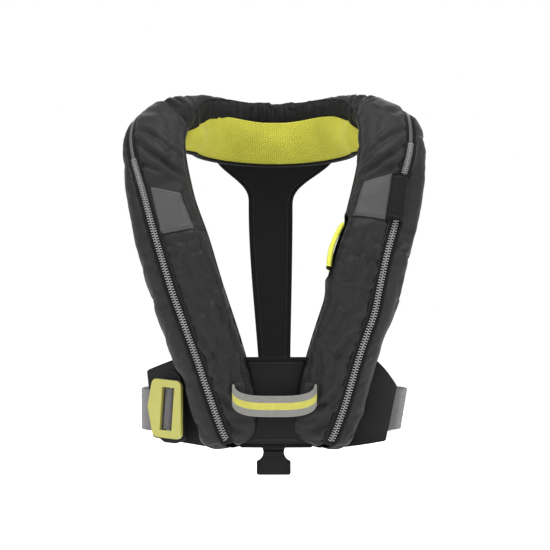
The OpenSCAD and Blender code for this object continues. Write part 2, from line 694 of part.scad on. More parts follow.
// Slider on the left zip, with its puller
slider_u = 5.12;
module at_slider() {
    f = frame_at(slider_u, 1);
    low = frame_at(slider_u - 0.75, 1);
    angle = angle_of(f[5]);
    low_angle = angle_of(low[5]);
    p = section_at(f, angle, 2.5);
    q = section_at(low, low_angle, 2.5);
    along = unit(q - p);
    n0 = unit(section_at(f, angle, 3) - section_at(f, angle, 0));
    n = unit(n0 - (n0 * along) * along);
    b = cross(n, along);
    multmatrix([
        [along[0], b[0], n[0], p[0]],
        [along[1], b[1], n[1], p[1]],
        [along[2], b[2], n[2], p[2]],
        [0, 0, 0, 1]
    ]) children();
}
puller_pin_z = 2.25;
module zip_slider() {
    color("gray") at_slider() {
        difference() {
            linear_extrude(1.4) offset(r = 1) polygon([[-5, -4], [5, -2.6], [5, 2.6], [-5, 4]]);
            // hollow that the puller's eye turns in
            translate([0, 0, puller_pin_z]) rotate([90, 0, 0]) cylinder(h = 3.2, r = 2, center = true, $fn = 32);
        }
        translate([0, 0, puller_pin_z]) rotate([90, 0, 0]) cylinder(h = 3.4, r = 0.9, center = true, $fn = 24);
        for (end = [-1, 1]) translate([-1, end * 2 - 0.4, 1.3]) cube([2, 0.8, 1.8]);
    }
}
module zip_puller() {
    color("gray") at_slider() difference() {
        union() {
            translate([0, -1.4, 1.6]) cube([4, 2.8, 1.2]);
            translate([3.4, -2.6, 1.6]) cube([15, 5.2, 1.2]);
            translate([0, 0, puller_pin_z]) rotate([90, 0, 0])
                cylinder(h = 2.8, r = 1.6, center = true, $fn = 24);
        }
        translate([0, 0, puller_pin_z]) rotate([90, 0, 0]) cylinder(h = 4, r = 0.98, center = true, $fn = 24);
    }
}

// Ladder buckle on the belt behind the left wing
adjuster_u = 1.42;
adjuster_in = 8.2;
module at_adjuster() {
    out = belt_out(adjuster_u);
    lean = belt_lean(adjuster_u);
    p = concat(belt_at(adjuster_u), [belt_z]) - (belt_tuck(adjuster_u) + lean / 2) * out;
    translate(p) rotate([0, 0, atan2(out[0], -out[1])]) rotate([atan(lean / belt_w), 0, 0])
        translate([0, adjuster_in, 0]) children();
}
adjuster_l = belt_w + 5;
module side_adjuster() {
    color(black) at_adjuster() difference() {
        translate([-14, -1.6, -adjuster_l / 2]) cube([28, 3.2, adjuster_l]);
        for (x = [-10.5, 3]) translate([x, -3, -belt_w / 2 - 0.5]) cube([7.5, 6, belt_w + 1]);
        cylinder(h = adjuster_l + 2, r = 1.2, center = true, $fn = 24);
    }
}
module adjuster_bar() {
    color("silver") at_adjuster() cylinder(h = adjuster_l - 1, r = 1.2, center = true, $fn = 24);
}

cover_front(1);  // cover_front_left
cover_front(-1);  // cover_front_right
cover_back(1);  // cover_back_left
cover_back(-1);  // cover_back_right
collar_cover();
neck_pad();
neck_binding();
zip(1);  // zip_left
zip(-1);  // zip_right
zip_collar();
zip_garage();
reflective_patch(1);  // reflective_patch_left
reflective_patch(-1);  // reflective_patch_right
chest_panel();
side_wing(1);  // side_wing_left
side_wing(-1);  // side_wing_right
back_yoke();
back_strap();
belt_webbing();
belt_buckle_turn();
buckle_receiver();
crotch_web_stub();
loop_anchors();
bladder(1);  // bladder_left
bladder(-1);  // bladder_right
bladder_collar();
inflator_body();
lever_pin();
oral_tube();
whistle_lanyard();
buckle_frame();
buckle_bar();
harness_loop();
pull_handle();
trip_cord();
inflator_lever();
piercing_pin();
gas_cylinder();
cartridge_cap();
dust_cap();
whistle();
zip_slider();
zip_puller();
side_adjuster();
adjuster_bar();
crotch_buckle();
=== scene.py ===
"""Looks of the inflatable life jacket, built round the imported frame.

Lengths are millimetres in the design part of this script and become metres where a mesh is made.
+X is the wearer's left, -Y is forward and +Z is up, as in the frame.
"""

import math
import random

import bmesh
import bpy
import numpy as np
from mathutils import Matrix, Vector
from mathutils import noise as value_noise


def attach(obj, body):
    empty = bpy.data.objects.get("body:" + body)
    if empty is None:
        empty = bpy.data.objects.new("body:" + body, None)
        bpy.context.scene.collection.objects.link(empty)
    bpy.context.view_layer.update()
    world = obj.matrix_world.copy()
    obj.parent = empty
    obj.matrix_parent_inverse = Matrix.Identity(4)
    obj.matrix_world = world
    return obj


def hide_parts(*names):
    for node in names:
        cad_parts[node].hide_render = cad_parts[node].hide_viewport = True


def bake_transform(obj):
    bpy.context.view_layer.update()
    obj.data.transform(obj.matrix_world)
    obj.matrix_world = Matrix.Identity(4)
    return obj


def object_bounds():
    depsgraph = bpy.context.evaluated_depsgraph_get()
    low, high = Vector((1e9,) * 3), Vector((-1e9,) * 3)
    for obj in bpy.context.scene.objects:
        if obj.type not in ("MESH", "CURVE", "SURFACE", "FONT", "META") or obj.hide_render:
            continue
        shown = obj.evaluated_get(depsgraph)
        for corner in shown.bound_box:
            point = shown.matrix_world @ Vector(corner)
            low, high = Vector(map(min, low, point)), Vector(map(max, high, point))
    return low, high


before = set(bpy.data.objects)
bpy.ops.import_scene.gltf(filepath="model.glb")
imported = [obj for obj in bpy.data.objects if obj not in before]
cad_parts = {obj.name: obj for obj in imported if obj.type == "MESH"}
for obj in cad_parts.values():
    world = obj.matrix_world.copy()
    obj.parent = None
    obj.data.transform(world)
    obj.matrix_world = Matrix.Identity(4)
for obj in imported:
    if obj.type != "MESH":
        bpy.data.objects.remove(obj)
CAD_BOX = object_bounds()
MM = 0.001
FORWARD = np.array([0, -1.0, 0])
SIDEWAYS = np.array([1.0, 0, 0])
UP = np.array([0, 0, 1.0])


# ---- Camera, light and floor

# The camera's place, the width it sees and how far off, in millimetres
CAMERA_POINT = (0.6, -3630, -144)
VIEW_WIDTH = 660
VIEW_DISTANCE = 3500
SENSOR = 36
WORLD_LIGHT = 0.42
LIGHT_TARGET = (0, -0.05, -0.14)
# Name, place, size and power of each softbox, in metres and watts
SOFTBOXES = (
    ("top_light", (0.0, -0.5, 1.5), (1.6, 1.2), 30),
    ("left_light", (-1.6, -1.5, 0.5), (0.9, 1.6), 14),
    ("right_light", (1.7, -1.2, 0.4), (0.9, 1.6), 12),
    ("back_light", (0.0, 1.8, 0.6), (1.8, 1.2), 14),
)
FLOOR_GAP = 0.02
FLOOR_RADIUS = 14


def new_object(name, data):
    made = bpy.data.objects.new(name, data)
    bpy.context.scene.collection.objects.link(made)
    return made


def add_camera():
    data = bpy.data.cameras.new("camera")
    data.sensor_width = SENSOR
    data.lens = SENSOR * VIEW_DISTANCE / VIEW_WIDTH
    data.clip_start = 0.05
    data.clip_end = 60
    camera = new_object("camera", data)
    camera.location = Vector(CAMERA_POINT) * MM
    camera.rotation_euler = (math.radians(90), 0, 0)
    bpy.context.scene.camera = camera


def add_softbox(name, place, target, size, power):
    data = bpy.data.lights.new(name, "AREA")
    data.shape = "RECTANGLE"
    data.size, data.size_y = size
    data.energy = power
    light = new_object(name, data)
    light.location = place
    aim = Vector(target) - Vector(place)
    light.rotation_euler = aim.to_track_quat("-Z", "Y").to_euler()


def add_studio():
    scene = bpy.context.scene
    scene.view_settings.view_transform = "Standard"
    scene.view_settings.look = "None"
    world = bpy.data.worlds.new("studio")
    world.use_nodes = True
    background = world.node_tree.nodes["Background"]
    background.inputs["Color"].default_value = (1, 1, 1, 1)
    # The backdrop is shown white, and lights the object more softly than it shows
    rays = world.node_tree.nodes.new("ShaderNodeLightPath")
    strength = world.node_tree.nodes.new("ShaderNodeMapRange")
    strength.inputs["To Min"].default_value = WORLD_LIGHT
    strength.inputs["To Max"].default_value = 1.0
    world.node_tree.links.new(rays.outputs["Is Camera Ray"], strength.inputs["Value"])
    world.node_tree.links.new(strength.outputs["Result"], background.inputs["Strength"])
    scene.world = world
    for name, place, size, power in SOFTBOXES:
        add_softbox(name, place, LIGHT_TARGET, size, power)
    bm = bmesh.new()
    bmesh.ops.create_circle(bm, cap_ends=True, segments=96, radius=FLOOR_RADIUS)
    mesh = bpy.data.meshes.new("floor")
    bm.to_mesh(mesh)
    bm.free()
    floor = new_object("floor", mesh)
    floor.location = (0, 0, CAD_BOX[0].z - FLOOR_GAP)
    material = bpy.data.materials.new("floor_white")
    material.use_nodes = True
    shader = material.node_tree.nodes["Principled BSDF"]
    shader.inputs["Base Color"].default_value = (0.93, 0.93, 0.93, 1)
    shader.inputs["Roughness"].default_value = 0.9
    shader.inputs["Emission Color"].default_value = (1, 1, 1, 1)
    shader.inputs["Emission Strength"].default_value = 0.65
    mesh.materials.append(material)


add_camera()
add_studio()


# ---- Design of the covers: the same curves as the frame's own parts

# Rows along one lobe on the wearer's left: centre, outward direction, half width, half
# thickness, place of the zip as a share of the half width.
STATIONS = np.array([
    [48, -127, -349, 0.06, -1, -0.10, 38, 23, 0.42],
    [64, -131, -298, 0.14, -1, -0.04, 42, 26, 0.42],
    [82, -131, -234, 0.16, -1, 0.00, 42, 27, 0.50],
    [102, -128, -174, 0.18, -1, 0.05, 42.5, 27, 0.45],
    [118, -122, -114, 0.20, -1, 0.14, 42, 27, 0.43],
    [134, -106, -54, 0.22, -1, 0.32, 40, 26, 0.49],
    [143.5, -76, 3, 0.32, -0.85, 0.62, 39, 25, 0.66],
    [138, -29.7, 42.3, 0.32, -0.25, 1, 38, 21, 0.74],
    [113, 25.5, 55.4, 0.35, 0.40, 0.90, 38, 18, 0.78],
    [72.3, 62.8, 47.5, 0.28, 0.90, 0.50, 38, 18, 0.80],
    [35, 80, 41, 0.10, 1, 0.30, 37, 18, 0.80],
    [0, 86, 38, 0, 1, 0.25, 36.5, 18, 0.80],
])
LAST = len(STATIONS) - 1
MIRROR_ROW = np.array([-1, 1, 1, -1, 1, 1, 1, 1, 1])
LOBE_END_U = 8.3
SECTION_POWER = 2.5
ZIP_WIDTH = 11
LOBE_SHIFT = 2
SHOULDER_SHIFT = -1.3
SHOULDER_SPREAD = 1.4
HANDLE_SWELL = 2.2
BUCKLE_GIVE = 2.2
SLIT_FROM_U = 3.28
SLIT_TO_U = 4.42


def mix(a, b, t):
    return a + (b - a) * t


def ease(low, high, x):
    t = np.clip((x - low) / (high - low), 0, 1)
    return t * t * (3 - 2 * t)


def unit(v):
    return v / np.linalg.norm(v)


def spow(x, power):
    return np.sign(x) * np.abs(x) ** power


def walked(points):
    """Distance along a line at each of its points."""
    return np.concatenate([[0], np.cumsum(np.linalg.norm(np.diff(points, axis=0), axis=1))])


def side_name(side):
    return "left" if side > 0 else "right"


def curve4(p0, p1, p2, p3, t):
    """Smooth curve through a table of rows."""
    return 0.5 * (
        2 * p1
        + (p2 - p0) * t
        + (2 * p0 - 5 * p1 + 4 * p2 - p3) * t * t
        + (3 * p1 - p0 - 3 * p2 + p3) * t * t * t
    )


def station(u):
    def row(i):
        return STATIONS[2 * LAST - i] * MIRROR_ROW if i > LAST else STATIONS[max(0, i)]

    i = math.floor(u)
    return curve4(row(i - 1), row(i), row(i + 1), row(i + 2), u - i)


def end_close(u):
    """How much a lobe's end closes over its last stretch."""
    return 1.0 if u >= 0.55 else math.sqrt(max(0.03, 1 - (1 - u / 0.55) ** 2))


def zip_draw(u, side):
    """How far a lobe's zip is drawn towards the neck edge, as a share of the half width."""
    if side > 0:
        draw = 0.09 + 0.06 * ease(0.9, 1.9, u) * (1 - ease(2.1, 3, u)) + 0.165 * ease(4.5, 5.4, u)
        return draw * (1 - ease(6.5, 8, u))
    return (0.07 + 0.18 * (1 - ease(1.4, 4.2, u))) * (1 - ease(5.4, 6.6, u))


def lobe_frame(u, side):
    """Centre, across, outward, half width, half thickness and zip share, unmirrored."""
    s = station(u)
    along = unit(station(u + 0.02)[:3] - station(u - 0.02)[:3])
    n = unit(s[3:6] - (s[3:6] @ along) * along)
    across = np.cross(along, n)
    shift = side * (
        LOBE_SHIFT * (1 - ease(2.6, 4.2, u))
        + SHOULDER_SHIFT * ease(3.8, 4.8, u) * (1 - ease(6.2, 7.4, u))
    )
    swell = 0 if side < 0 else HANDLE_SWELL * ease(2.7, 3.3, u) * (1 - ease(3.7, 4.6, u))
    give = 0 if side > 0 else BUCKLE_GIVE * ease(0.3, 0.8, u) * (1 - ease(1.5, 1.9, u))
    spread = side * SHOULDER_SPREAD * ease(4, 5, u) * (1 - ease(6.4, 7.6, u))
    half = s[6] * end_close(u) + spread
    centre = s[:3] + np.array([shift, 0, 0]) - (swell + give) * across
    share = (s[8] * half + give) / (half - give) - zip_draw(u, side)
    return centre, across, n, half + swell - give, s[7] * end_close(u), share


class Ring:
    """Cross-section of the covers at u, from 0 at the left lobe's end to 22 at the right's."""

    def __init__(self, u):
        self.u = u
        self.side = 1 if u <= LAST else -1
        lobe_u = u if u <= LAST else 2 * LAST - u
        centre, across, n, self.a, self.b, self.share = lobe_frame(lobe_u, self.side)
        flip = np.array([self.side, 1, 1])
        self.centre = centre * flip
        self.across = across * flip
        self.n = n * flip
        self.lobe_u = lobe_u
        zip_half = ZIP_WIDTH / 2 / self.a
        self.zip_from = angle_of(min(0.985, self.share + zip_half))
        self.zip_to = angle_of(self.share - zip_half)

    def at(self, angle, off=0.0):
        """Point at an angle in degrees: 0 outer edge, 90 outward face, 180 neck edge."""
        r = np.radians(angle)
        x = (self.a + off) * spow(np.cos(r), 2 / SECTION_POWER)
        y = (self.b + off) * spow(np.sin(r), 2 / SECTION_POWER)
        return self.centre + np.multiply.outer(x, self.across) + np.multiply.outer(y, self.n)

    def out(self, angle):
        """Outward direction of the section at an angle."""
        step = self.at(angle + 0.5) - self.at(angle - 0.5)
        x, y = step @ self.across, step @ self.n
        return unit(y * self.across - x * self.n)

    def side_way(self, angle):
        """Direction along the section's surface, towards the outer edge."""
        return unit(self.at(angle - 0.5) - self.at(angle + 0.5))


def angle_of(share):
    """Angle of a place across the outward face, as a share of the half width."""
    bend = math.degrees(math.acos(min(1, abs(share)) ** (SECTION_POWER / 2)))
    return bend if share >= 0 else 180 - bend


def even_angles(ring, start, end, count):
    """Angles that space points evenly round a ring between two angles."""
    fine = np.linspace(start, end, 240)
    lengths = walked(ring.at(fine))
    return np.interp(np.linspace(0, lengths[-1], count), lengths, fine)


def slit_open(ring):
    """Half of the angle by which the left cover is open for the pull handle."""
    if ring.side < 0:
        return 0.0
    u = ring.lobe_u
    opening = ease(SLIT_FROM_U - 0.12, SLIT_FROM_U + 0.02, u)
    return float(24 * opening * (1 - ease(SLIT_TO_U - 0.02, SLIT_TO_U + 0.12, u)))


# ---- Mesh helpers


def make_object(name, points, faces):
    """Mesh object from points in millimetres."""
    mesh = bpy.data.meshes.new(name)
    mesh.from_pydata([tuple(p) for p in np.asarray(points, float) * MM], [], faces)
    mesh.update()
    mesh.shade_smooth()
    return new_object(name, mesh)


def grid_faces(rows, columns, wrap=False, start=0):
    """Quads of a grid whose points are stored row by row."""
    across = columns if wrap else columns - 1
    faces = []
    for i in range(rows - 1):
        for j in range(across):
            k = (j + 1) % columns
            a, b = start + i * columns + j, start + i * columns + k
            faces.append((a, b, b + columns, a + columns))
    return faces


def tube_faces(rows, columns):
    """Quads of a closed tube and the faces over its two ends."""
    end = (rows - 1) * columns
    caps = [tuple(range(columns))[::-1], tuple(end + k for k in range(columns))]
    return grid_faces(rows, columns, wrap=True) + caps


def sheet_lengths(grid):
    """Distance in millimetres along the rows and across the columns of a grid."""
    down = np.linalg.norm(np.diff(grid, axis=0), axis=2).mean(axis=1)
    over = np.linalg.norm(np.diff(grid, axis=1), axis=2).mean(axis=0)
    return np.concatenate([[0], np.cumsum(down)]), np.concatenate([[0], np.cumsum(over)])


def set_uv(obj, uv_of_vertex):
    """UV map whose unit is 10 mm of cloth."""
    layer = obj.data.uv_layers.new(name="UVMap")
    loops = np.zeros(len(obj.data.loops), np.int32)
    obj.data.loops.foreach_get("vertex_index", loops)
    layer.data.foreach_set("uv", (np.asarray(uv_of_vertex, float)[loops] / 10).ravel())


def grid_object(name, grid, flip=False):
    """Open sheet from a grid of points, with a UV map in tens of millimetres."""
    rows, columns = grid.shape[:2]
    faces = grid_faces(rows, columns)
    if flip:
        faces = [f[::-1] for f in faces]
    obj = make_object(name, grid.reshape(-1, 3), faces)
    along, over = sheet_lengths(grid)
    v, u = np.meshgrid(along, over, indexing="ij")
    set_uv(obj, np.stack([u.ravel(), v.ravel()], axis=1))
    return obj


def add_modifier(obj, kind, **settings):
    modifier = obj.modifiers.new(kind.lower(), kind)
    for key, value in settings.items():
        setattr(modifier, key, value)
    return modifier


def thicken(obj, thickness, offset=-1.0):
    """Gives a sheet its cloth thickness, inwards for an offset of -1."""
    add_modifier(obj, "SOLIDIFY", thickness=thickness * MM, offset=offset, use_even_offset=False)


def join_meshes(name, parts):
    """One object from lists of (points, faces) in millimetres."""
    points, faces = [], []
    for part_points, part_faces in parts:
        shift = len(points)
        points.extend(part_points)
        faces.extend([tuple(k + shift for k in f) for f in part_faces])
    return make_object(name, points, faces)


def face_out(obj):
    """Turns every face of a closed mesh outwards."""
    bm = bmesh.new()
    bm.from_mesh(obj.data)
    bmesh.ops.recalc_face_normals(bm, faces=bm.faces)
    bm.to_mesh(obj.data)
    bm.free()


def frames_along(path):
    """Tangent at each point of a path."""
    path = np.asarray(path, float)
    tangents = np.gradient(path, axis=0)
    return tangents / np.linalg.norm(tangents, axis=1)[:, None]


def read_line(line, lengths, places):
    """Values of a line, known at the given lengths, at other places along it."""
    return np.stack([np.interp(places, lengths, line[:, k]) for k in range(3)], axis=-1)


def resampled(points, step):
    """Points spaced evenly along a line, about a step apart."""
    lengths = walked(points)
    return read_line(points, lengths, np.linspace(0, lengths[-1], int(lengths[-1] / step)))


def smooth_path(stops, steps):
    """Points on the smooth curve through the stops."""
    rows = [2 * stops[0] - stops[1], *stops, 2 * stops[-1] - stops[-2]]
    found = []
    for k in range(len(stops) - 1):
        for t in np.linspace(0, 1, steps, endpoint=False):
            found.append(curve4(*rows[k:k + 4], t))
    return np.array(found + [stops[-1]])


def swept(path, ups, profile):
    """Points and faces of a profile swept along a path. Profile points are (side, up) pairs."""
    path = np.asarray(path, float)
    tangents = frames_along(path)
    rings = []
    for p, t, up in zip(path, tangents, ups):
        w = unit(np.cross(t, up))
        v = np.cross(w, t)
        rings.extend([p + q[0] * w + q[1] * v for q in profile])
    return rings, tube_faces(len(path), len(profile))


def round_profile(radius, count=8):
    turns = [2 * math.pi * k / count for k in range(count)]
    return [(radius * math.cos(t), radius * math.sin(t)) for t in turns]


def flat_profile(width, thickness, edge=0.35):
    """Flat band with rounded edges."""
    w, h, e = width / 2, thickness / 2, min(edge, thickness / 2)
    low = [(-w, -h + e), (-w + e, -h), (w - e, -h), (w, -h + e)]
    return low + [(-x, -y) for x, y in low]


# ---- Materials


SHADER_SETTINGS = {
    "sheen": "Sheen Weight",
    "sheen_roughness": "Sheen Roughness",
    "gloss": "Specular IOR Level",
    "metallic": "Metallic",
    "coat": "Coat Weight",
    "coat_roughness": "Coat Roughness",
}


class Nodes:
    """Small helper to write a material's node tree."""

    def __init__(self, name, colour, roughness, **settings):
        self.material = bpy.data.materials.new(name)
        self.material.use_nodes = True
        self.tree = self.material.node_tree
        self.shader = self.tree.nodes["Principled BSDF"]
        self.set(self.shader, "Base Color", (*colour, 1))
        self.set(self.shader, "Roughness", roughness)
        for key, value in settings.items():
            self.set(self.shader, SHADER_SETTINGS[key], value)

    def set(self, node, socket, value):
        node.inputs[socket].default_value = value

    def add(self, kind, **inputs):
        node = self.tree.nodes.new(kind)
        for key, value in inputs.items():
            self.set(node, key, value)
        return node

    def link(self, source, out_socket, target, in_socket):
        self.tree.links.new(source.outputs[out_socket], target.inputs[in_socket])

    def coords(self, kind="Object"):
        """Texture coordinates: Object is metres in the frame, UV is 10 mm a unit."""
        source = self.tree.nodes.new("ShaderNodeTexCoord")
        mapping = self.tree.nodes.new("ShaderNodeMapping")
        self.link(source, kind, mapping, "Vector")
        return mapping

    def noise(self, coords, scale, detail=3.0):
        node = self.add("ShaderNodeTexNoise", Scale=scale, Detail=detail)
        self.link(coords, "Vector", node, "Vector")
        return node

    def wave(self, coords, spacing, direction):
        """Waves a spacing in millimetres apart, over a piece's UV map."""
        node = self.add("ShaderNodeTexWave", Scale=10 / spacing * math.pi / 10, Distortion=0.0)
        node.bands_direction = direction
        self.link(coords, "Vector", node, "Vector")
        return node

    def math(self, operation, a, b):
        node = self.tree.nodes.new("ShaderNodeMath")
        node.operation = operation
        for k, value in enumerate((a, b)):
            if isinstance(value, (int, float)):
                node.inputs[k].default_value = value
            else:
                self.tree.links.new(value, node.inputs[k])
        return node.outputs[0]

    def blend_of(self, first, first_share, second, second_share):
        """Sum of two textures, each with its share."""
        parts = [
            self.math("MULTIPLY", node.outputs["Fac"], share)
            for node, share in ((first, first_share), (second, second_share))
        ]
        return self.math("ADD", *parts)

    def mix_in(self, factor, under, over):
        """Sets the base colour to under, with over where the factor is 1."""
        node = self.tree.nodes.new("ShaderNodeMix")
        node.data_type = "RGBA"
        self.tree.links.new(factor, node.inputs["Factor"])
        self.link(under, "Color", node, 6)
        if isinstance(over, tuple):
            self.set(node, 7, (*over, 1))
        else:
            self.link(over, "Color", node, 7)
        self.link(node, 2, self.shader, "Base Color")

    def ramp(self, factor, stops):
        node = self.tree.nodes.new("ShaderNodeValToRGB")
        elements = node.color_ramp.elements
        while len(elements) < len(stops):
            elements.new(0.5)
        for element, (place, colour) in zip(elements, stops):
            element.position = place
            element.color = (*colour, 1)
        self.tree.links.new(factor, node.inputs["Fac"])
        return node

    def colour_from(self, factor, dark, light):
        ramp = self.ramp(factor, [(0.0, dark), (1.0, light)])
        self.link(ramp, "Color", self.shader, "Base Color")
        return ramp

    def rough_from(self, factor, low, high):
        node = self.tree.nodes.new("ShaderNodeMapRange")
        self.tree.links.new(factor, node.inputs["Value"])
        node.inputs["To Min"].default_value = low
        node.inputs["To Max"].default_value = high
        self.link(node, "Result", self.shader, "Roughness")

    def bump(self, height, strength, distance, under=None):
        node = self.add("ShaderNodeBump", Strength=strength, Distance=distance)
        self.tree.links.new(height, node.inputs["Height"])
        if under is not None:
            self.link(under, "Normal", node, "Normal")
        self.link(node, "Normal", self.shader, "Normal")
        return node


def scaled(colour, factor):
    return tuple(min(1, c * factor) for c in colour)


def woven(name, colour, roughness=0.62, thread=0.9, mottle=0.16, sheen=0.1, gloss=0.25):
    """Plain woven cloth with a soft sheen. thread is the thread spacing in millimetres."""
    m = Nodes(name, colour, roughness, sheen=sheen, sheen_roughness=0.45, gloss=gloss)
    cloth = m.coords("UV")
    warp = m.wave(cloth, thread, "X")
    weft = m.wave(cloth, thread, "Y")
    weave = m.math("MULTIPLY", warp.outputs["Fac"], weft.outputs["Fac"])
    place = m.coords("Object")
    patches = m.noise(place, 38, 4)
    fine = m.noise(place, 420, 2)
    shade = m.blend_of(patches, 0.7, fine, 0.3)
    m.colour_from(shade, scaled(colour, 1 - mottle * 2), scaled(colour, 1 + mottle * 2))
    m.rough_from(patches.outputs["Fac"], roughness - 0.1, roughness + 0.12)
    soft = m.bump(m.noise(place, 90, 3).outputs["Fac"], 0.25, 0.0012)
    m.bump(weave, 0.25, 0.0003, under=soft)
    return m.material


def webbing(name, colour, rib=2.0, stripe=None):
    """Ribbed webbing. The UV's V runs across the band, and a stripe takes its middle share."""
    m = Nodes(name, colour, 0.68, sheen=0.3, sheen_roughness=0.4)
    cloth = m.coords("UV")
    ribs = m.wave(cloth, rib, "Y")
    threads = m.wave(cloth, 1.3, "X")
    height = m.math("ADD", ribs.outputs["Fac"], m.math("MULTIPLY", threads.outputs["Fac"], 0.5))
    worn = m.noise(m.coords("Object"), 160, 4)
    # Colour darker between the ribs and lighter on them: painted shade, with random tone from the noise
    base = m.colour_from(m.blend_of(worn, 0.6, ribs, 0.3), scaled(colour, 0.66), scaled(colour, 1.24))
    if stripe is not None:
        stripe_colour, low, high = stripe
        split = m.tree.nodes.new("ShaderNodeSeparateXYZ")
        m.link(cloth, "Vector", split, "Vector")
        inside = m.math(
            "MULTIPLY",
            m.math("GREATER_THAN", split.outputs["Y"], low / 10),
            m.math("LESS_THAN", split.outputs["Y"], high / 10),
        )
        shades = [(0, scaled(stripe_colour, 0.82)), (1, scaled(stripe_colour, 1.12))]
        m.mix_in(inside, base, m.ramp(worn.outputs["Fac"], shades))
    m.bump(height, 0.5, 0.0006)
    return m.material


def spacer_mesh(name, colour, hole_shade_colour):
    """Knitted mesh whose holes come from the colour attribute painted on the piece, painted darker as the
    shade inside them.
    """
    m = Nodes(name, colour, 0.78, sheen=0.15, gloss=0.2)
    place = m.coords("Object")
    broad = m.noise(place, 24, 3)
    knit = m.noise(place, 900, 2)
    face = m.ramp(broad.outputs["Fac"], [(0.3, scaled(colour, 0.86)), (0.7, scaled(colour, 1.1))])
    holes = m.add("ShaderNodeAttribute")
    holes.attribute_name = "hole"
    # Painted shade: the holes take a darker copy of the mesh's colour
    m.mix_in(holes.outputs["Fac"], face, hole_shade_colour)
    m.bump(knit.outputs["Fac"], 0.3, 0.0003)
    return m.material


def plastic(name, colour, roughness=0.42, grain=600, bump=0.12, coat=0.0, metallic=0.0, gloss=0.5):
    """Moulded plastic or painted metal with a fine surface texture."""
    m = Nodes(name, colour, roughness, metallic=metallic, gloss=gloss, coat=coat, coat_roughness=0.2)
    place = m.coords("Object")
    broad = m.noise(place, 60, 4)
    fine = m.noise(place, grain, 2)
    m.colour_from(broad.outputs["Fac"], scaled(colour, 0.86), scaled(colour, 1.12))
    m.rough_from(broad.outputs["Fac"], roughness - 0.08, roughness + 0.1)
    m.bump(fine.outputs["Fac"], bump, 0.0003)
    return m.material


MATERIALS = {
    "shell": woven("shell_cloth", (0.0115, 0.0115, 0.0118), roughness=0.55, gloss=0.22, sheen=0.06),
    # Darker copy of the shell cloth: painted shade, for the collar beyond its seam, lobe ends, seams,
    # welt, wings and pad facing
    "shell_shaded": woven("shell_cloth_shaded", (0.0080, 0.0080, 0.0083), gloss=0.16, sheen=0.04),
    "strap": woven("strap_cloth", (0.0070, 0.0070, 0.0074), roughness=0.75, gloss=0.14, sheen=0.04),
    "binding": woven("binding_tape", (0.0055, 0.0055, 0.0055), 0.8, thread=1.4, gloss=0.12, sheen=0.03),
    "tape": woven("zip_tape", (0.0060, 0.0060, 0.0064), roughness=0.7, thread=1.1, gloss=0.12, sheen=0.03),
    "reflective": woven("reflective_cloth", (0.057, 0.057, 0.058), roughness=0.5, thread=1.6, mottle=0.05),
    "piping": plastic("grey_piping", (0.072, 0.072, 0.073), roughness=0.5),
    "teeth": plastic("zip_teeth", (0.28, 0.28, 0.275), roughness=0.36),
    # The second colour is painted shade inside the mesh's holes
    "mesh": spacer_mesh("spacer_mesh", (0.46, 0.445, 0.046), (0.095, 0.085, 0.007)),
    "belt": webbing("belt_webbing", (0.100, 0.094, 0.100)),
    "loop": webbing("loop_webbing", (0.20, 0.197, 0.18), rib=1.8, stripe=((0.47, 0.44, 0.068), 8.4, 16.6)),
    "black_web": webbing("black_webbing", (0.0085, 0.0085, 0.009)),
    "yellow_cloth": woven("yellow_cloth", (0.72, 0.72, 0.09), roughness=0.6, thread=1.2, mottle=0.05),
    "thread": plastic("stitch_thread", (0.022, 0.022, 0.023), roughness=0.6),
    "yellow_thread": plastic("yellow_thread", (0.50, 0.48, 0.07), roughness=0.6),
    "film": woven("bladder_film", (0.50, 0.43, 0.04), roughness=0.4, thread=0.7, mottle=0.04, sheen=0.05),
    "yellow_metal": plastic("yellow_anodised", (0.375, 0.36, 0.075), 0.38, 1400, bump=0.08, coat=0.15),
    "navy": plastic("navy_plate", (0.007, 0.007, 0.011), roughness=0.55, gloss=0.2),
    "black_plastic": plastic("black_plastic", (0.0055, 0.0055, 0.0057), roughness=0.5, gloss=0.18),
    "rubber": plastic("black_rubber", (0.010, 0.010, 0.010), roughness=0.7),
    "steel": plastic("satin_steel", (0.55, 0.55, 0.56), roughness=0.3, metallic=1.0, grain=900),
    "zip_metal": plastic("slider_metal", (0.20, 0.20, 0.21), roughness=0.35, metallic=0.9),
    "brass": plastic("satin_brass", (0.70, 0.52, 0.24), roughness=0.32, metallic=1.0),
    "green": plastic("green_cap", (0.04, 0.28, 0.09), roughness=0.35, coat=0.3),
    "yellow_plastic": plastic("yellow_cap", (0.75, 0.64, 0.05), roughness=0.35, coat=0.3),
    "orange": plastic("orange_whistle", (0.80, 0.22, 0.03), roughness=0.3, coat=0.4),
    "white": woven("white_braid", (0.72, 0.72, 0.69), roughness=0.7, thread=0.8, mottle=0.05),
}


def finish_piece(obj, material, replaces=(), body="jacket"):
    """Material, slot, the frame nodes that a piece stands for, and its body."""
    obj.data.materials.clear()
    obj.data.materials.append(MATERIALS[material])
    if body:
        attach(obj, body)
    if replaces:
        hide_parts(*replaces)
    return obj


def joined_piece(name, parts, material="binding", replaces=()):
    """Piece of the jacket made of closed parts, with every face turned outwards."""
    obj = join_meshes(name, parts)
    face_out(obj)
    return finish_piece(obj, material, replaces)


# ---- Covers: one grid for the front cloth and one for the back cloth, simulated together

RING_STEP = 4.5
FRONT_COLUMNS = 24
BACK_COLUMNS = 40
SIM_FRAMES = 20
SIM_CAP = 5.0
SIM_SINK = -1.0
CLOTH_THICKNESS = 1.1
CLOTH_SETTINGS = {
    "quality": 6,
    "mass": 0.15,
    "air_damping": 2,
    "tension_stiffness": 18,
    "compression_stiffness": 18,
    "shear_stiffness": 6,
    "bending_stiffness": 0.08,
    "vertex_group_mass": "pin",
    "pin_stiffness": 1.0,
    "use_pressure": True,
    "uniform_pressure_force": 4.0,
    "shrink_min": -0.045,
}


def ring_places():
    """Places u along the covers, spaced evenly in length."""
    fine = np.linspace(0, 2 * LAST, 2200)
    lengths = walked([Ring(u).centre for u in fine])
    count = int(lengths[-1] / RING_STEP)
    return np.interp(np.linspace(0, lengths[-1], count), lengths, fine)


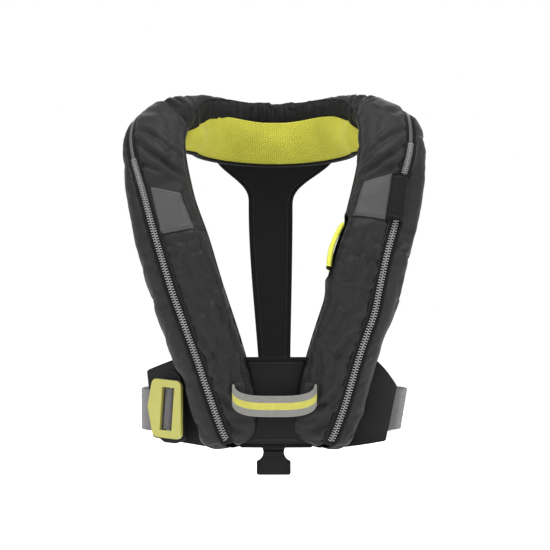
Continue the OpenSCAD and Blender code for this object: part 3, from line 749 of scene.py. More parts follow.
def doubled(rows):
    """Twice as many rows on the smooth curve through the given ones."""
    before = np.concatenate([rows[:1], rows[:-1]])
    after = np.concatenate([rows[1:], rows[-1:]])
    later = np.concatenate([rows[2:], rows[-1:], rows[-1:]])
    middle = curve4(before, rows, after, later, 0.5)
    made = np.empty((2 * len(rows) - 1, *rows.shape[1:]))
    made[::2] = rows
    made[1::2] = middle[:-1]
    return made


class Skin:
    """Grid of cover points: rows are rings, columns run across one cloth."""

    def __init__(self, rings, start_of, end_of, columns, neck_first):
        self.neck_first = neck_first
        self.start_of = start_of
        self.end_of = end_of
        self.set_rings(rings, columns)
        self.points = np.array([r.at(a) for r, a in zip(self.rings, self.angles)])

    def set_rings(self, rings, columns):
        self.rings = rings
        self.us = np.array([r.u for r in rings])
        self.angles = np.array(
            [even_angles(r, self.start_of(r), self.end_of(r), columns) for r in rings]
        )

    def refine(self):
        """Doubles the grid both ways, keeping what the simulation did."""
        shift = self.points - np.array([r.at(a) for r, a in zip(self.rings, self.angles)])
        shift = np.swapaxes(doubled(np.swapaxes(doubled(shift), 0, 1)), 0, 1)
        rings = [Ring(u) for u in doubled(self.us)]
        self.set_rings(rings, shift.shape[1])
        self.points = np.array([r.at(a) for r, a in zip(self.rings, self.angles)]) + shift

    def normals(self):
        down = np.gradient(self.points, axis=0)
        over = np.gradient(self.points, axis=1)
        n = np.cross(over, down)
        n /= np.linalg.norm(n, axis=2)[:, :, None] + 1e-9
        outward = self.points - np.array([r.centre for r in self.rings])[:, None, :]
        return n * np.sign((n * outward).sum(axis=2))[:, :, None]

    def measures(self):
        """Distances in millimetres along the cover, from its neck edge and from its zip."""
        self.along = walked([r.centre for r in self.rings])
        across = np.array([walked(row) for row in self.points])
        total = across[:, -1:]
        self.to_neck = across if self.neck_first else total - across
        self.to_outer = total - across if self.neck_first else across

    def settle(self):
        self.cached_normals = self.normals()

    def index_of(self, u, angle):
        i = float(np.interp(u, self.us, np.arange(len(self.us))))
        row = int(round(i))
        j = float(np.interp(angle, self.angles[row], np.arange(self.angles.shape[1])))
        return i, j

    def at(self, u, angle, lift=0.0):
        """Point on the finished cloth, lifted off it along its normal, and that normal."""
        i, j = self.index_of(u, angle)
        i0 = min(int(i), len(self.us) - 2)
        j0 = min(int(j), self.angles.shape[1] - 2)
        t, s = i - i0, j - j0
        near = [(0, 0, (1 - t) * (1 - s)), (0, 1, (1 - t) * s), (1, 0, t * (1 - s)), (1, 1, t * s)]
        weights = [(i0 + a, j0 + b, w) for a, b, w in near]
        point = sum(w * self.points[a, b] for a, b, w in weights)
        normal = unit(sum(w * self.cached_normals[a, b] for a, b, w in weights))
        return point + lift * normal, normal


# Corners of the patches: lower outer, lower inner, upper outer, upper inner, as (u, share)
PATCH_CORNERS = {
    1: np.array([[4.52, 0.03], [4.46, -0.86], [5.36, -0.05], [5.12, -0.77]]),
    -1: np.array([[4.28, 0.21], [4.22, -0.77], [5.14, 0.16], [4.90, -0.68]]),
}


RINGS = [Ring(u) for u in ring_places()]
FRONT = Skin(RINGS, lambda r: r.zip_to, lambda r: 180 - slit_open(r), FRONT_COLUMNS, False)
BACK = Skin(RINGS, lambda r: 180 + slit_open(r), lambda r: 360 + r.zip_from, BACK_COLUMNS, True)


def patch_cover(skin):
    """How far each point of the cloth lies under a patch, from 0 to 1."""
    cover = np.zeros(skin.points.shape[:2])
    for i, ring in enumerate(skin.rings):
        low_outer, low_inner, high_outer, high_inner = PATCH_CORNERS[ring.side]
        up = (ring.lobe_u - low_outer[0]) / (high_outer[0] - low_outer[0])
        shares = np.cos(np.radians(skin.angles[i]))
        shares = np.sign(shares) * np.abs(shares) ** (2 / SECTION_POWER)
        outer, inner = mix(low_outer[1], high_outer[1], up), mix(low_inner[1], high_inner[1], up)
        across = ease(inner - 0.12, inner, shares) * (1 - ease(outer, outer + 0.12, shares))
        facing = skin.angles[i] < 180
        cover[i] = across * facing * ease(-0.2, 0.0, up) * (1 - ease(1.0, 1.2, up))
    return cover


def simulate(skins):
    """Inflates the cloth a little between its seams, so that it puckers as sewn cloth does."""
    points = np.concatenate([s.points.reshape(-1, 3) for s in skins])
    faces, pinned, start = [], [], 0
    for skin in skins:
        rows, columns = skin.points.shape[:2]
        faces += [f[::-1] for f in grid_faces(rows, columns, start=start)]
        index = start + np.arange(rows * columns).reshape(rows, columns)
        pinned += [*index[0], *index[-1], *index[:, 0], *index[:, -1]]
        start += rows * columns
    obj = make_object("cover_sim", points, faces)
    group = obj.vertex_groups.new(name="pin")
    group.add([int(k) for k in pinned], 1.0, "REPLACE")
    cloth = add_modifier(obj, "CLOTH")
    for key, value in CLOTH_SETTINGS.items():
        setattr(cloth.settings, key, value)
    cloth.settings.effector_weights.gravity = 0
    cloth.collision_settings.use_self_collision = False
    scene = bpy.context.scene
    cloth.point_cache.frame_start = 1
    cloth.point_cache.frame_end = SIM_FRAMES + 1
    for step in range(1, SIM_FRAMES + 1):
        scene.frame_set(step)
    shown = obj.evaluated_get(bpy.context.evaluated_depsgraph_get())
    moved = np.zeros(len(points) * 3)
    shown.data.vertices.foreach_get("co", moved)
    moved = moved.reshape(-1, 3) / MM - points
    length = np.linalg.norm(moved, axis=1)[:, None] + 1e-9
    moved *= SIM_CAP * np.tanh(length / SIM_CAP) / length
    start = 0
    for skin in skins:
        count = skin.points.shape[0] * skin.points.shape[1]
        shift = moved[start:start + count].reshape(skin.points.shape)
        shift *= (1 - patch_cover(skin))[:, :, None]
        n = skin.normals()
        rise = (shift * n).sum(axis=2)[:, :, None]
        skin.points = skin.points + shift + (np.maximum(rise, SIM_SINK) - rise) * n
        start += count
    scene.frame_set(1)
    bpy.data.objects.remove(obj)


def cover_u(side, lobe_u):
    return lobe_u if side > 0 else 2 * LAST - lobe_u


def segment_distance(p, a, b):
    """Distance of points to a segment and how far along it they are, from 0 to 1."""
    d = b - a
    t = np.clip(((p - a) @ d) / (d @ d), 0, 1)
    return np.linalg.norm(p - a - t[..., None] * d, axis=-1), t


def crease(skin, route, depth, width):
    """Presses a fold into the cloth along a route of (u, distance from the neck edge)."""
    places = np.stack(np.broadcast_arrays(skin.along[:, None], skin.to_neck), axis=-1)
    stops = np.array([[np.interp(u, skin.us, skin.along), d] for u, d in route], float)
    nearest = np.full(places.shape[:2], 1e9)
    share = np.zeros(places.shape[:2])
    for k in range(len(stops) - 1):
        away, t = segment_distance(places, stops[k], stops[k + 1])
        closer = away < nearest
        nearest[closer] = away[closer]
        share[closer] = ((k + t) / (len(stops) - 1))[closer]
    taper = np.sin(np.pi * share) ** 0.6
    valley = np.exp(-(nearest / width) ** 2)
    bank = np.exp(-((nearest - 1.9 * width) / (1.1 * width)) ** 2)
    held = np.clip(skin.to_outer / 5, 0, 1) * np.clip(skin.to_neck / 3, 0, 1)
    rise = (-depth * valley + FOLD_RIDGE * depth * bank) * taper * held
    skin.points += rise[:, :, None] * skin.normals()


def press(skin, path, depth, width):
    """Draws the cloth in along a seam, so that it puffs up on both sides."""
    path = np.asarray(path, float)
    flat = skin.points.reshape(-1, 3)
    nearest = np.full(len(flat), 1e9)
    for k in range(0, len(path), 24):
        away = np.linalg.norm(flat[:, None, :] - path[None, k:k + 24], axis=2)
        nearest = np.minimum(nearest, away.min(axis=1))
    nearest = nearest.reshape(skin.points.shape[:2])
    rise = -depth * np.exp(-(nearest / width) ** 2)
    rise += 0.5 * depth * np.exp(-((nearest - 2.4 * width) / (1.3 * width)) ** 2)
    rise *= np.clip(skin.to_neck / 3, 0, 1)
    skin.points += rise[:, :, None] * skin.normals()


# Folds of each lobe's front: (u, distance from the neck edge) stops, depth, width
LOBE_FOLDS = [
    ([(5.96, 66), (5.70, 50), (5.44, 30), (5.22, 12)], 4.2, 3.4),
    ([(6.34, 68), (6.12, 50), (5.84, 30), (5.60, 10)], 2.8, 4.0),
    ([(5.66, 70), (5.50, 56), (5.38, 44)], 2.4, 3.0),
    ([(7.0, 70), (6.8, 52), (6.6, 32)], 1.6, 6.0),
    ([(4.28, 46), (4.0, 42), (3.6, 46), (3.2, 42)], 1.6, 4.6),
    ([(4.2, 62), (3.9, 58), (3.5, 62)], 1.4, 4.0),
    ([(3.1, 58), (2.7, 44), (2.3, 36), (1.9, 32)], 2.1, 4.4),
    ([(2.5, 62), (2.1, 52), (1.7, 46), (1.3, 48)], 2.2, 3.8),
    ([(1.9, 22), (1.6, 30), (1.2, 36), (0.8, 32)], 2.4, 3.8),
    ([(1.3, 60), (1.0, 46), (0.8, 30)], 2.0, 3.4),
    ([(0.8, 60), (0.5, 46), (0.35, 26)], 2.0, 3.4),
    ([(2.9, 20), (2.5, 24), (2.1, 19)], 1.6, 3.4),
]
LEFT_FOLDS = [
    ([(4.3, 30), (3.9, 27), (3.5, 30), (3.1, 25)], 1.8, 3.6),
    ([(1.5, 58), (1.2, 56), (0.9, 58)], 1.5, 3.4),
]
RIGHT_FOLDS = [
    ([(4.1, 30), (3.7, 34), (3.3, 28)], 1.8, 3.8),
    ([(3.4, 24), (3.0, 30), (2.6, 24), (2.2, 28)], 2.0, 3.6),
]
# Folds that fan out beside the seam where a lobe meets the collar
SHOULDER_FOLDS = {
    1: [
        ([(7.70, 60), (7.56, 40), (7.40, 20), (7.24, 4)], 2.8, 2.6),
        ([(8.02, 58), (7.84, 38), (7.64, 18), (7.44, 4)], 2.6, 2.6),
        ([(8.36, 56), (8.14, 34), (7.88, 15), (7.66, 4)], 2.2, 2.8),
    ],
    -1: [
        ([(7.30, 56), (7.14, 38), (7.0, 20), (6.92, 4)], 3.2, 3.0),
        ([(7.66, 54), (7.46, 36), (7.26, 18), (7.12, 4)], 2.4, 3.0),
        ([(8.06, 52), (7.80, 32), (7.54, 14)], 2.0, 3.2),
    ],
}
NECK_FOLDS = {
    1: [
        ([(7.50, 0), (7.56, 14), (7.70, 30)], 2.0, 3.0),
        ([(7.80, 0), (7.92, 16), (8.08, 34)], 1.8, 3.0),
    ],
    -1: [
        ([(7.02, 0), (7.06, 14), (7.2, 28)], 2.2, 3.0),
        ([(7.4, 0), (7.52, 14), (7.7, 30)], 2.0, 3.2),
    ],
}
FOLD_RIDGE = 0.6
GATHER_COUNT = 17
GATHER_SEED = 11
# Seam between each lobe's cover and the collar's: angles, and the place along the lobe at each
SEAM_ANGLES = [60, 98, 136, 156, 182, 225, 270, 330]
SEAM_PLACES = {
    1: [8.3, 7.9, 7.5, 7.35, 7.15, 7.3, 7.7, 8.3],
    -1: [8.3, 7.22, 6.84, 6.80, 6.78, 6.85, 7.4, 8.3],
}
# Seam along each lobe near its neck edge, as a share of the half width
NECK_SEAM_SHARES = {1: (-0.93, -0.86, 3.2, 4.5), -1: (-0.90, -0.77, 3.2, 4.3)}
NECK_SEAM_TO_U = {1: 5.10, -1: 4.90}
# How far each seam draws the cloth in, and the width of the dent
SEAM_DEPTH = {"neck": (1.2, 2.6), "patch_low": (0.9, 2.4), "collar": (1.5, 3.4)}
COLLAR_SAG = 3.4


def collar_seam_u(side, angle):
    return float(np.interp(angle, SEAM_ANGLES, SEAM_PLACES[side]))


def collar_seam(side, angles):
    return [(cover_u(side, collar_seam_u(side, a)), a) for a in angles]


def patch_place(side, up, across):
    low_outer, low_inner, high_outer, high_inner = PATCH_CORNERS[side]
    u, share = mix(mix(low_outer, low_inner, across), mix(high_outer, high_inner, across), up)
    return cover_u(side, u), angle_of(share)


def neck_seam_angle(side, u):
    low, high, from_u, to_u = NECK_SEAM_SHARES[side]
    return angle_of(mix(low, high, float(ease(from_u, to_u, u))))


def seam_routes(side):
    """Seams on a lobe's front cloth, each as a list of (u along the covers, angle)."""
    corner_u = PATCH_CORNERS[side][1][0]
    edge = 178 - slit_open(Ring(cover_u(side, corner_u)))
    neck_us = np.linspace(0.35, NECK_SEAM_TO_U[side], 200)
    neck_angles = [mix(neck_seam_angle(side, 4.4), edge, t) for t in np.linspace(0.2, 1, 16)]
    patch_low = [patch_place(side, -0.02, t) for t in np.linspace(-0.3, 1, 40)]
    return {
        "neck": [(cover_u(side, u), neck_seam_angle(side, u)) for u in neck_us],
        "patch_low": patch_low + [(cover_u(side, corner_u - 0.02), a) for a in neck_angles],
        "collar": collar_seam(side, np.linspace(66, 179, 80)),
    }


def sag_collar(skin):
    """Lets the collar's neck edge settle a little lower, the same amount on both cloths."""
    us = np.minimum(skin.us, 2 * LAST - skin.us)
    amount = COLLAR_SAG * ease(7.0, 8.2, us) * (1 - 0.6 * ease(9.4, 10.6, us))
    across = np.array([r.across for r in skin.rings])
    fade = np.exp(-(skin.to_neck / 16) ** 2)
    skin.points += (amount[:, None] * fade)[:, :, None] * across[:, None, :]


def soften(skin):
    """Gives the cloth a slight unevenness."""
    def unevenness(p):
        p = Vector(p)
        return value_noise.noise(p / 26) + 0.5 * value_noise.noise(p / 11 + Vector((7, 1, 3)))

    n = skin.normals()
    rise = np.array([[unevenness(p) for p in row] for row in skin.points])
    held = np.clip(skin.to_outer / 8, 0, 1) * np.clip(skin.to_neck / 5, 0, 1)
    skin.points += (0.85 * rise * held)[:, :, None] * n


def fold_covers():
    for skin in (FRONT, BACK):
        skin.measures()
        sag_collar(skin)
        soften(skin)
    for side in (1, -1):
        own = LEFT_FOLDS if side > 0 else RIGHT_FOLDS
        for route, depth, width in LOBE_FOLDS + own + SHOULDER_FOLDS[side]:
            crease(FRONT, [(cover_u(side, u), d) for u, d in route], depth, width)
        for route, depth, width in NECK_FOLDS[side]:
            crease(BACK, [(cover_u(side, u), d) for u, d in route], depth, width)
    chance = random.Random(GATHER_SEED)
    for k in range(GATHER_COUNT):
        spread = (k + 0.5) / GATHER_COUNT * 2 - 1
        u = LAST + 2.6 * math.copysign(abs(spread) ** 1.25, spread) + chance.uniform(-0.05, 0.05)
        lean = chance.uniform(-0.12, 0.12)
        depth = chance.uniform(1.2, 2.6) * (1.2 - 0.4 * abs(spread))
        width = chance.uniform(2.6, 4.4)
        crease(FRONT, [(u + lean, 60), (u, 34), (u - lean, 8)], depth, width)
        crease(BACK, [(u - lean, 3), (u, 14), (u + lean / 2, 36)], depth, width)
    for skin in (FRONT, BACK):
        skin.settle()
    for side in (1, -1):
        for name, route in seam_routes(side).items():
            press(FRONT, [FRONT.at(u, a)[0] for u, a in route], *SEAM_DEPTH[name])
        route = collar_seam(side, np.linspace(181, 300, 70))
        press(BACK, [BACK.at(u, a)[0] for u, a in route], *SEAM_DEPTH["collar"])


simulate([FRONT, BACK])
for grid in (FRONT, BACK):
    grid.refine()
fold_covers()
for grid in (FRONT, BACK):
    grid.settle()
    grid.measures()


def cover_piece(name, skin, first_u, last_u, node):
    """Part of a cover's cloth, with painted shade beyond the collar's seam: the darker copy of the cloth
    there.
    """
    first, last = np.searchsorted(skin.us, (first_u, last_u))
    chosen = slice(first, last + 1)
    obj = grid_object(name, skin.points[chosen], flip=True)
    thicken(obj, CLOTH_THICKNESS)
    finish_piece(obj, "shell", node)
    # Second slot: the darker copy of the cloth, painted shade on the collar beyond its seam
    obj.data.materials.append(MATERIALS["shell_shaded"])
    us, angles = skin.us[chosen], skin.angles[chosen]
    dark = []
    for i in range(len(us) - 1):
        side = 1 if us[i] < LAST else -1
        lobe_u = min(us[i], 2 * LAST - us[i])
        dark += [int(lobe_u > collar_seam_u(side, a)) for a in angles[i, :-1]]
    obj.data.polygons.foreach_set("material_index", dark)
    return obj


RIGHT_END_U = 2 * LAST - LOBE_END_U
for face, skin in (("front", FRONT), ("back", BACK)):
    cover_piece(f"{face}_cover_left", skin, 0, LOBE_END_U, [f"cover_{face}_left"])
    cover_piece(f"{face}_cover_right", skin, RIGHT_END_U, 2 * LAST, [f"cover_{face}_right"])
for face, skin in (("front", FRONT), ("back", BACK)):
    cover_piece(f"collar_{face}", skin, LOBE_END_U, RIGHT_END_U, ["collar_cover"])


def end_cap(side):
    """Closes the lower end of a lobe with a gathered cloth."""
    ring = Ring(cover_u(side, 0.0))
    front_row = FRONT.points[0 if side > 0 else -1]
    back_row = BACK.points[0 if side > 0 else -1]
    rim = np.concatenate([front_row, back_row])
    rings = [mix(rim, ring.centre + (rim - ring.centre) * 0.1, t) for t in np.linspace(0, 1, 5)]
    grid = np.array([r - UP * 1.2 * math.sin(math.pi / 2 * k / 4) for k, r in enumerate(rings)])
    obj = grid_object(f"lobe_end_{side_name(side)}", grid)
    thicken(obj, CLOTH_THICKNESS, 0)
    # The darker copy of the cloth paints shade on the lobe's lower end
    return finish_piece(obj, "shell_shaded")


for lobe_side in (1, -1):
    end_cap(lobe_side)


# ---- Stitches and seam bands


def stitch(start, end, normal, radius):
    """A short thread: points and faces of one stitch."""
    d = unit(end - start)
    w = unit(np.cross(d, normal))
    rings = []
    for t, r in ((0.0, 0.25), (0.16, 0.9), (0.5, 1.1), (0.84, 0.9), (1.0, 0.25)):
        p = mix(start, end, t)
        for k in range(5):
            turn = 2 * math.pi * k / 5
            rings.append(p + radius * r * (math.cos(turn) * w + math.sin(turn) * normal))
    faces = grid_faces(5, 5, wrap=True)
    faces.append((0, 1, 2, 3, 4))
    faces.append((24, 23, 22, 21, 20))
    return rings, faces


def evenly(points, normals, step):
    """Points and normals spaced evenly along a line."""
    points, normals = np.asarray(points, float), np.asarray(normals, float)
    lengths = walked(points)
    places = np.arange(0, lengths[-1], step)
    return tuple(read_line(line, lengths, places) for line in (points, normals))


def stitch_row(points, normals, pitch=3.6, length=2.5, radius=0.32, lift=0.25):
    """Stitches along a line that lies on a surface."""
    points, normals = evenly(points, normals, pitch)
    parts = []
    for k in range(len(points) - 1):
        d = unit(points[k + 1] - points[k])
        n = unit(normals[k])
        start = points[k] + lift * n
        parts.append(stitch(start, start + length * d, n, radius))
    return parts


def stitched_runs(corners, place, count, **sizes):
    """Stitches on the straight runs between corners. place turns a spot into a point and normal."""
    parts = []
    for start, end in zip(corners, corners[1:]):
        spots = [mix(np.array(start), np.array(end), t) for t in np.linspace(0, 1, count)]
        points, normals = zip(*[place(*spot) for spot in spots])
        parts += stitch_row(points, normals, **sizes)
    return parts


def add_stitches(name, parts, body="jacket", material="thread"):
    return finish_piece(join_meshes(name, parts), material, body=body)


def seam_band(points, normals, width, thickness):
    """A narrow folded strip lying on the cloth."""
    return swept(points, normals, flat_profile(width, thickness))


def on_cloth(skin, route, lift):
    """Points and normals of a route laid on the cloth, without repeated points."""
    kept = []
    for u, angle in route:
        point, normal = skin.at(u, angle, lift)
        if not kept or np.linalg.norm(point - kept[-1][0]) > 0.1:
            kept.append((point, normal))
    return np.array([k[0] for k in kept]), np.array([k[1] for k in kept])


def add_seams(side):
    """Folded seams of a lobe's cover, with a row of stitches beside each."""
    label = side_name(side)
    bands, rows = [], []
    for name, route in seam_routes(side).items():
        points, normals = on_cloth(FRONT, route, 0.1)
        if name != "collar":
            bands.append(seam_band(points, normals, 1.6, 0.7))
        tangents = frames_along(points)
        beside = points + 2.4 * np.cross(tangents, normals) * (1 if name == "collar" else -1)
        rows += stitch_row(beside, normals, lift=0.1, radius=0.26)
    # The seam bands take the darker copy of the cloth: painted shade along the seams
    joined_piece(f"cover_seams_{label}", bands, "shell_shaded")
    add_stitches(f"cover_stitches_{label}", rows)


# ---- Bands: webbing and tape with their ribs as geometry


def band_profile(width, thickness, rib=0.0, rib_height=0.15, step=0.7):
    """Closed profile of a band, as (across, up), with rounded edges and ribs along it."""
    w, h = width / 2, thickness / 2
    count = max(4, int(width / step)) if rib else 8
    across = np.linspace(-w + h * 0.8, w - h * 0.8, count)
    wave = 0.5 - 0.5 * np.cos(2 * math.pi * across / rib) if rib else np.ones(count)
    top = [(x, h - rib_height * (1 - k)) for x, k in zip(across, wave)]
    low = [(x, -y) for x, y in top][::-1]
    return top + [(w - 0.15 * h, h * 0.55), (w, 0), (w - 0.15 * h, -h * 0.55)] + low + [
        (-w + 0.15 * h, -h * 0.55),
        (-w, 0),
        (-w + 0.15 * h, h * 0.55),
    ]


def band(name, centres, wides, outs, profile, width):
    """Band from centre points, directions across it and directions out of it."""
    centres = np.asarray(centres, float)
    rings = [c + x * w + y * o for c, w, o in zip(centres, wides, outs) for x, y in profile]
    obj = make_object(name, rings, tube_faces(len(centres), len(profile)))
    across = np.array([x for x, _ in profile]) + width / 2
    set_uv(obj, [(d, v) for d in walked(centres) for v in across])
    face_out(obj)
    return obj


def closed_grid(name, rings):
    """Closed tube from rings of points, with a UV map."""
    rings = np.asarray(rings, float)
    obj = make_object(name, rings.reshape(-1, 3), tube_faces(*rings.shape[:2]))
    along, across = sheet_lengths(rings)
    set_uv(obj, [(x, y) for y in along for x in across])
    face_out(obj)
    return obj


def add_neck_edge():
    """The seam where the front and back cloths are sewn together, open at the handle's slit."""
    parts = []
    middle = (FRONT.points[:, -1] + BACK.points[:, 0]) / 2
    for first_u, last_u in ((0, SLIT_FROM_U - 0.05), (SLIT_TO_U + 0.05, 2 * LAST)):
        first, last = np.searchsorted(FRONT.us, (first_u, last_u))
        path = middle[first:last + 1]
        ups = [r.n for r in FRONT.rings[first:last + 1]]
        parts.append(swept(path, ups, round_profile(0.9, 8)))
    # The neck seam takes the darker copy of the cloth: painted shade along it
    joined_piece("cover_neck_edge", parts, "shell_shaded")


add_neck_edge()
for lobe_side in (1, -1):
    add_seams(lobe_side)


# ---- Zips: tape, moulded teeth, plain strip over the shoulders and welts on both sides

TOOTH_PITCH = 3.2
# Shank and head of a tooth: from and to across the zip, half widths there, lowest and highest
TOOTH_BLOCKS = ((0.9, 3.7, 0.56, 0.62, -0.2, 0.95), (-0.5, 1.2, 0.50, 0.66, -0.2, 1.2))
TEETH_FROM_U = 0.35
TEETH_TO_U = {1: 6.05, -1: 5.75}


def zip_line(us, offset=0.0, lift=0.0):
    """Points, outward and sideways directions along the zip, at an offset in mm from its middle."""
    points, outs, sides = [], [], []
    for u in us:
        ring = Ring(u)
        middle = angle_of(min(0.97, ring.share + offset / ring.a))
        out = ring.out(middle)
        points.append(ring.at(middle) + lift * out)
        outs.append(out)
        sides.append(ring.side_way(middle))
    return np.array(points), np.array(outs), np.array(sides)


def lobe_us(side, first, last, count=220):
    """Places along the covers between two places on one lobe."""
    return [cover_u(side, mix(first, last, t)) for t in np.linspace(0, 1, count)]


def tooth(place, along, across, out, side):
    """One moulded tooth: a shank from the tape and a head that crosses the middle."""
    parts = []
    for x0, x1, w0, w1, low, high in TOOTH_BLOCKS:
        ring = []
        for z, inset in ((low, 0.0), (high - 0.3, 0.0), (high, 0.28)):
            for x, w in ((x0, w0), (x1, w1), (x1, -w1), (x0, -w0)):
                x_in = x + inset * (1 if x == x0 else -1)
                w_in = w - math.copysign(inset, w)
                ring.append(place + side * x_in * across + w_in * along + z * out)
        faces = grid_faces(3, 4, wrap=True) + [(8, 9, 10, 11), (3, 2, 1, 0)]
        parts.append((ring, faces))
    return parts


def zip_teeth(side):
    points, outs, _ = zip_line(lobe_us(side, TEETH_FROM_U, TEETH_TO_U[side], 400), lift=0.45)
    lengths = walked(points)
    parts = []
    for k, d in enumerate(np.arange(0, lengths[-1], TOOTH_PITCH / 2)):
        place, out = (read_line(line, lengths, d) for line in (points, outs))
        ahead = read_line(points, lengths, d + 1)
        along = unit(ahead - place) if d + 1 < lengths[-1] else unit(points[-1] - points[-2])
        out = unit(out - (out @ along) * along)
        parts += tooth(place, along, unit(np.cross(along, out)), out, 1 if k % 2 else -1)
    return parts


def add_zip(side):
    label = side_name(side)
    node = f"zip_{label}"
    points, outs, sides = zip_line(lobe_us(side, 0.2, LOBE_END_U), lift=-0.1)
    profile = band_profile(ZIP_WIDTH + 1.5, 0.9, 2.2, 0.08)
    tape = band(f"zip_tape_{label}", points, sides, outs, profile, ZIP_WIDTH)
    finish_piece(tape, "tape", [node])
    joined_piece(f"zip_teeth_{label}", zip_teeth(side), "teeth", [node])
    points, outs, sides = zip_line(lobe_us(side, TEETH_TO_U[side] - 0.02, LOBE_END_U, 140), lift=0.5)
    plain = band(f"zip_strip_{label}", points, sides, outs, band_profile(4.4, 1.5), 4.4)
    finish_piece(plain, "piping", [node])
    for edge, offset, width in (("inner", -ZIP_WIDTH / 2 - 2.0, 4.4), ("outer", ZIP_WIDTH / 2 + 1.1, 4.0)):
        points, outs, sides = zip_line(lobe_us(side, 0.25, LOBE_END_U), offset, 0.7)
        welt = band(f"zip_welt_{edge}_{label}", points, sides, outs, round_welt(width, 2.0), width)
        finish_piece(welt, "tape")
    points, outs, _ = zip_line(lobe_us(side, 0.3, LOBE_END_U - 0.1), -ZIP_WIDTH / 2 - 2.6, 1.55)
    add_stitches(f"zip_stitches_{label}", stitch_row(points, outs, lift=0.1))


def round_welt(width, height):
    """Profile of a folded edge: high in the middle and rounded down to both sides."""
    turns = np.linspace(0, 2 * math.pi, 14, endpoint=False)
    return [(width / 2 * math.cos(t), height / 2 * spow(math.sin(t), 0.8)) for t in turns]


def add_collar_zip():
    us = np.linspace(LOBE_END_U, RIGHT_END_U, 150)
    for name, offset, lift, profile, width, material in (
        ("zip_tape_collar", 0, -0.1, band_profile(ZIP_WIDTH + 1.5, 0.9), ZIP_WIDTH, "tape"),
        ("zip_strip_collar", 0, 0.7, band_profile(4.4, 1.5), 4.4, "piping"),
        # The inner welt takes the darker copy of the cloth: painted shade beside the zip
        ("zip_welt_inner_collar", -ZIP_WIDTH / 2 - 1.2, 0.6, round_welt(3.6, 2.0), 3.6, "shell_shaded"),
    ):
        points, outs, sides = zip_line(us, offset, lift)
        obj = band(name, points, sides, outs, profile, width)
        finish_piece(obj, material, ["zip_collar"] if material != "shell_shaded" else ())


for lobe_side in (1, -1):
    add_zip(lobe_side)
add_collar_zip()


# ---- Zip garage and reflective patches

GARAGE_U = (4.55, 5.36)
GARAGE_SHARES = (0.21, -0.31)
GARAGE_HEIGHT = 7.6
PATCH_STITCH_INSET = 0.055


def garage_point(u, t, lift=0.0):
    """Point on the fabric tunnel, from its outer side at t = -1 to its inner side at t = 1."""
    ring = Ring(u)
    share = ring.share + mix(*GARAGE_SHARES, (t + 1) / 2)
    sag = 0.35 * math.sin(9 * u) * math.sin(5 * t + 2 * u)
    height = 0.9 + (GARAGE_HEIGHT - 0.9) * (1 - abs(t) ** 2.5) + sag * (1 - t * t)
    return ring.at(angle_of(min(0.985, share)), height + lift)


def add_garage():
    us = np.linspace(*GARAGE_U, 60)
    ts = np.linspace(-1, 1, 40)
    grid = np.array([[garage_point(u, t) for t in ts] for u in us])
    obj = grid_object("zip_garage_cloth", grid, flip=True)
    thicken(obj, 1.3)
    finish_piece(obj, "strap", ["zip_garage"])
    parts = []
    for end in (0.012, 0.988):
        u = mix(*GARAGE_U, end)
        path = np.array([garage_point(u, t, 0.25) for t in ts])
        ring = Ring(u)
        parts.append(swept(path, [ring.out(angle_of(ring.share))] * len(ts), round_profile(0.8, 10)))
    joined_piece("zip_garage_hems", parts)
    rows = []
    sewn = np.linspace(-0.9, 0.9, 60)
    for u in (mix(*GARAGE_U, 0.07), mix(*GARAGE_U, 0.93)):
        path = np.array([garage_point(u, t, 0.05) for t in sewn])
        rows += stitch_row(path, [unit(garage_point(u, t, 1) - garage_point(u, t)) for t in sewn])
    add_stitches("zip_garage_stitches", rows)


def add_patch(side):
    label = side_name(side)
    rows, columns = 44, 40
    corner = 0.05

    def lift(up, across):
        edge = min(up, 1 - up, across, 1 - across)
        return 0.15 + 0.7 * float(ease(-corner / 2, corner, edge))

    def cloth_point(up, across):
        return FRONT.at(*patch_place(side, up, across), lift(up, across))[0]

    ups, shares = np.linspace(0, 1, rows), np.linspace(0, 1, columns)
    grid = np.array([[cloth_point(up, across) for across in shares] for up in ups])
    obj = grid_object(f"reflective_patch_cloth_{label}", grid, flip=side > 0)
    thicken(obj, 0.7, 0.0)
    finish_piece(obj, "reflective", [f"reflective_patch_{label}"])
    def sewn_point(up, across):
        return FRONT.at(*patch_place(side, up, across), 1.15)

    low, high = PATCH_STITCH_INSET, 1 - PATCH_STITCH_INSET
    square = [(low, low), (low, high), (high, high), (high, low), (low, low)]
    rows = stitched_runs(square, sewn_point, 40, lift=0.05, pitch=3.0, length=2.1, radius=0.24)
    add_stitches(f"patch_stitches_{label}", rows)


add_garage()
for lobe_side in (1, -1):
    add_patch(lobe_side)


# ---- Neck pad of spacer mesh and its edge tape

PAD_REACH = 112
PAD_T = 7
PAD_SPAN = 430.0
PAD_HEIGHT = 58.0
PAD_HOLE_PITCH = 3.4
PAD_HOLE_DEPTH = 0.75
PAD_COLUMNS = 600
PAD_ROWS = 84
PAD_BACK_ROWS = 24
FACING_HEIGHT = 19
FACING_T = 1.4


def pad_point(turn, level, depth):
    """Point of the neck pad: turn in degrees from the back, level up its height, depth inwards."""
    c = math.cos(math.radians(turn))
    t = abs(turn)
    spread = float(ease(84, 112, t))
    dip = (10 if turn < 0 else 6.5) * float(ease(50, 78, t) * (1 - ease(84, 104, t)))
    top = 48 + 7 * float(ease(5, 45, t)) - 29 * float(ease(78, 112, t)) - dip
    low = -4.5 - 3 * max(0, c) ** 2 + 11 * (1 - c)
    reach = 7 * (1 - level) - depth - 5 * math.sin(math.pi * min(1, max(0, level)))
    return np.array([
        (96 + 28 * spread + reach) * math.sin(math.radians(turn)),
        -8 + (64 + 35 * spread + reach) * c,
        mix(low, top, level),
    ])


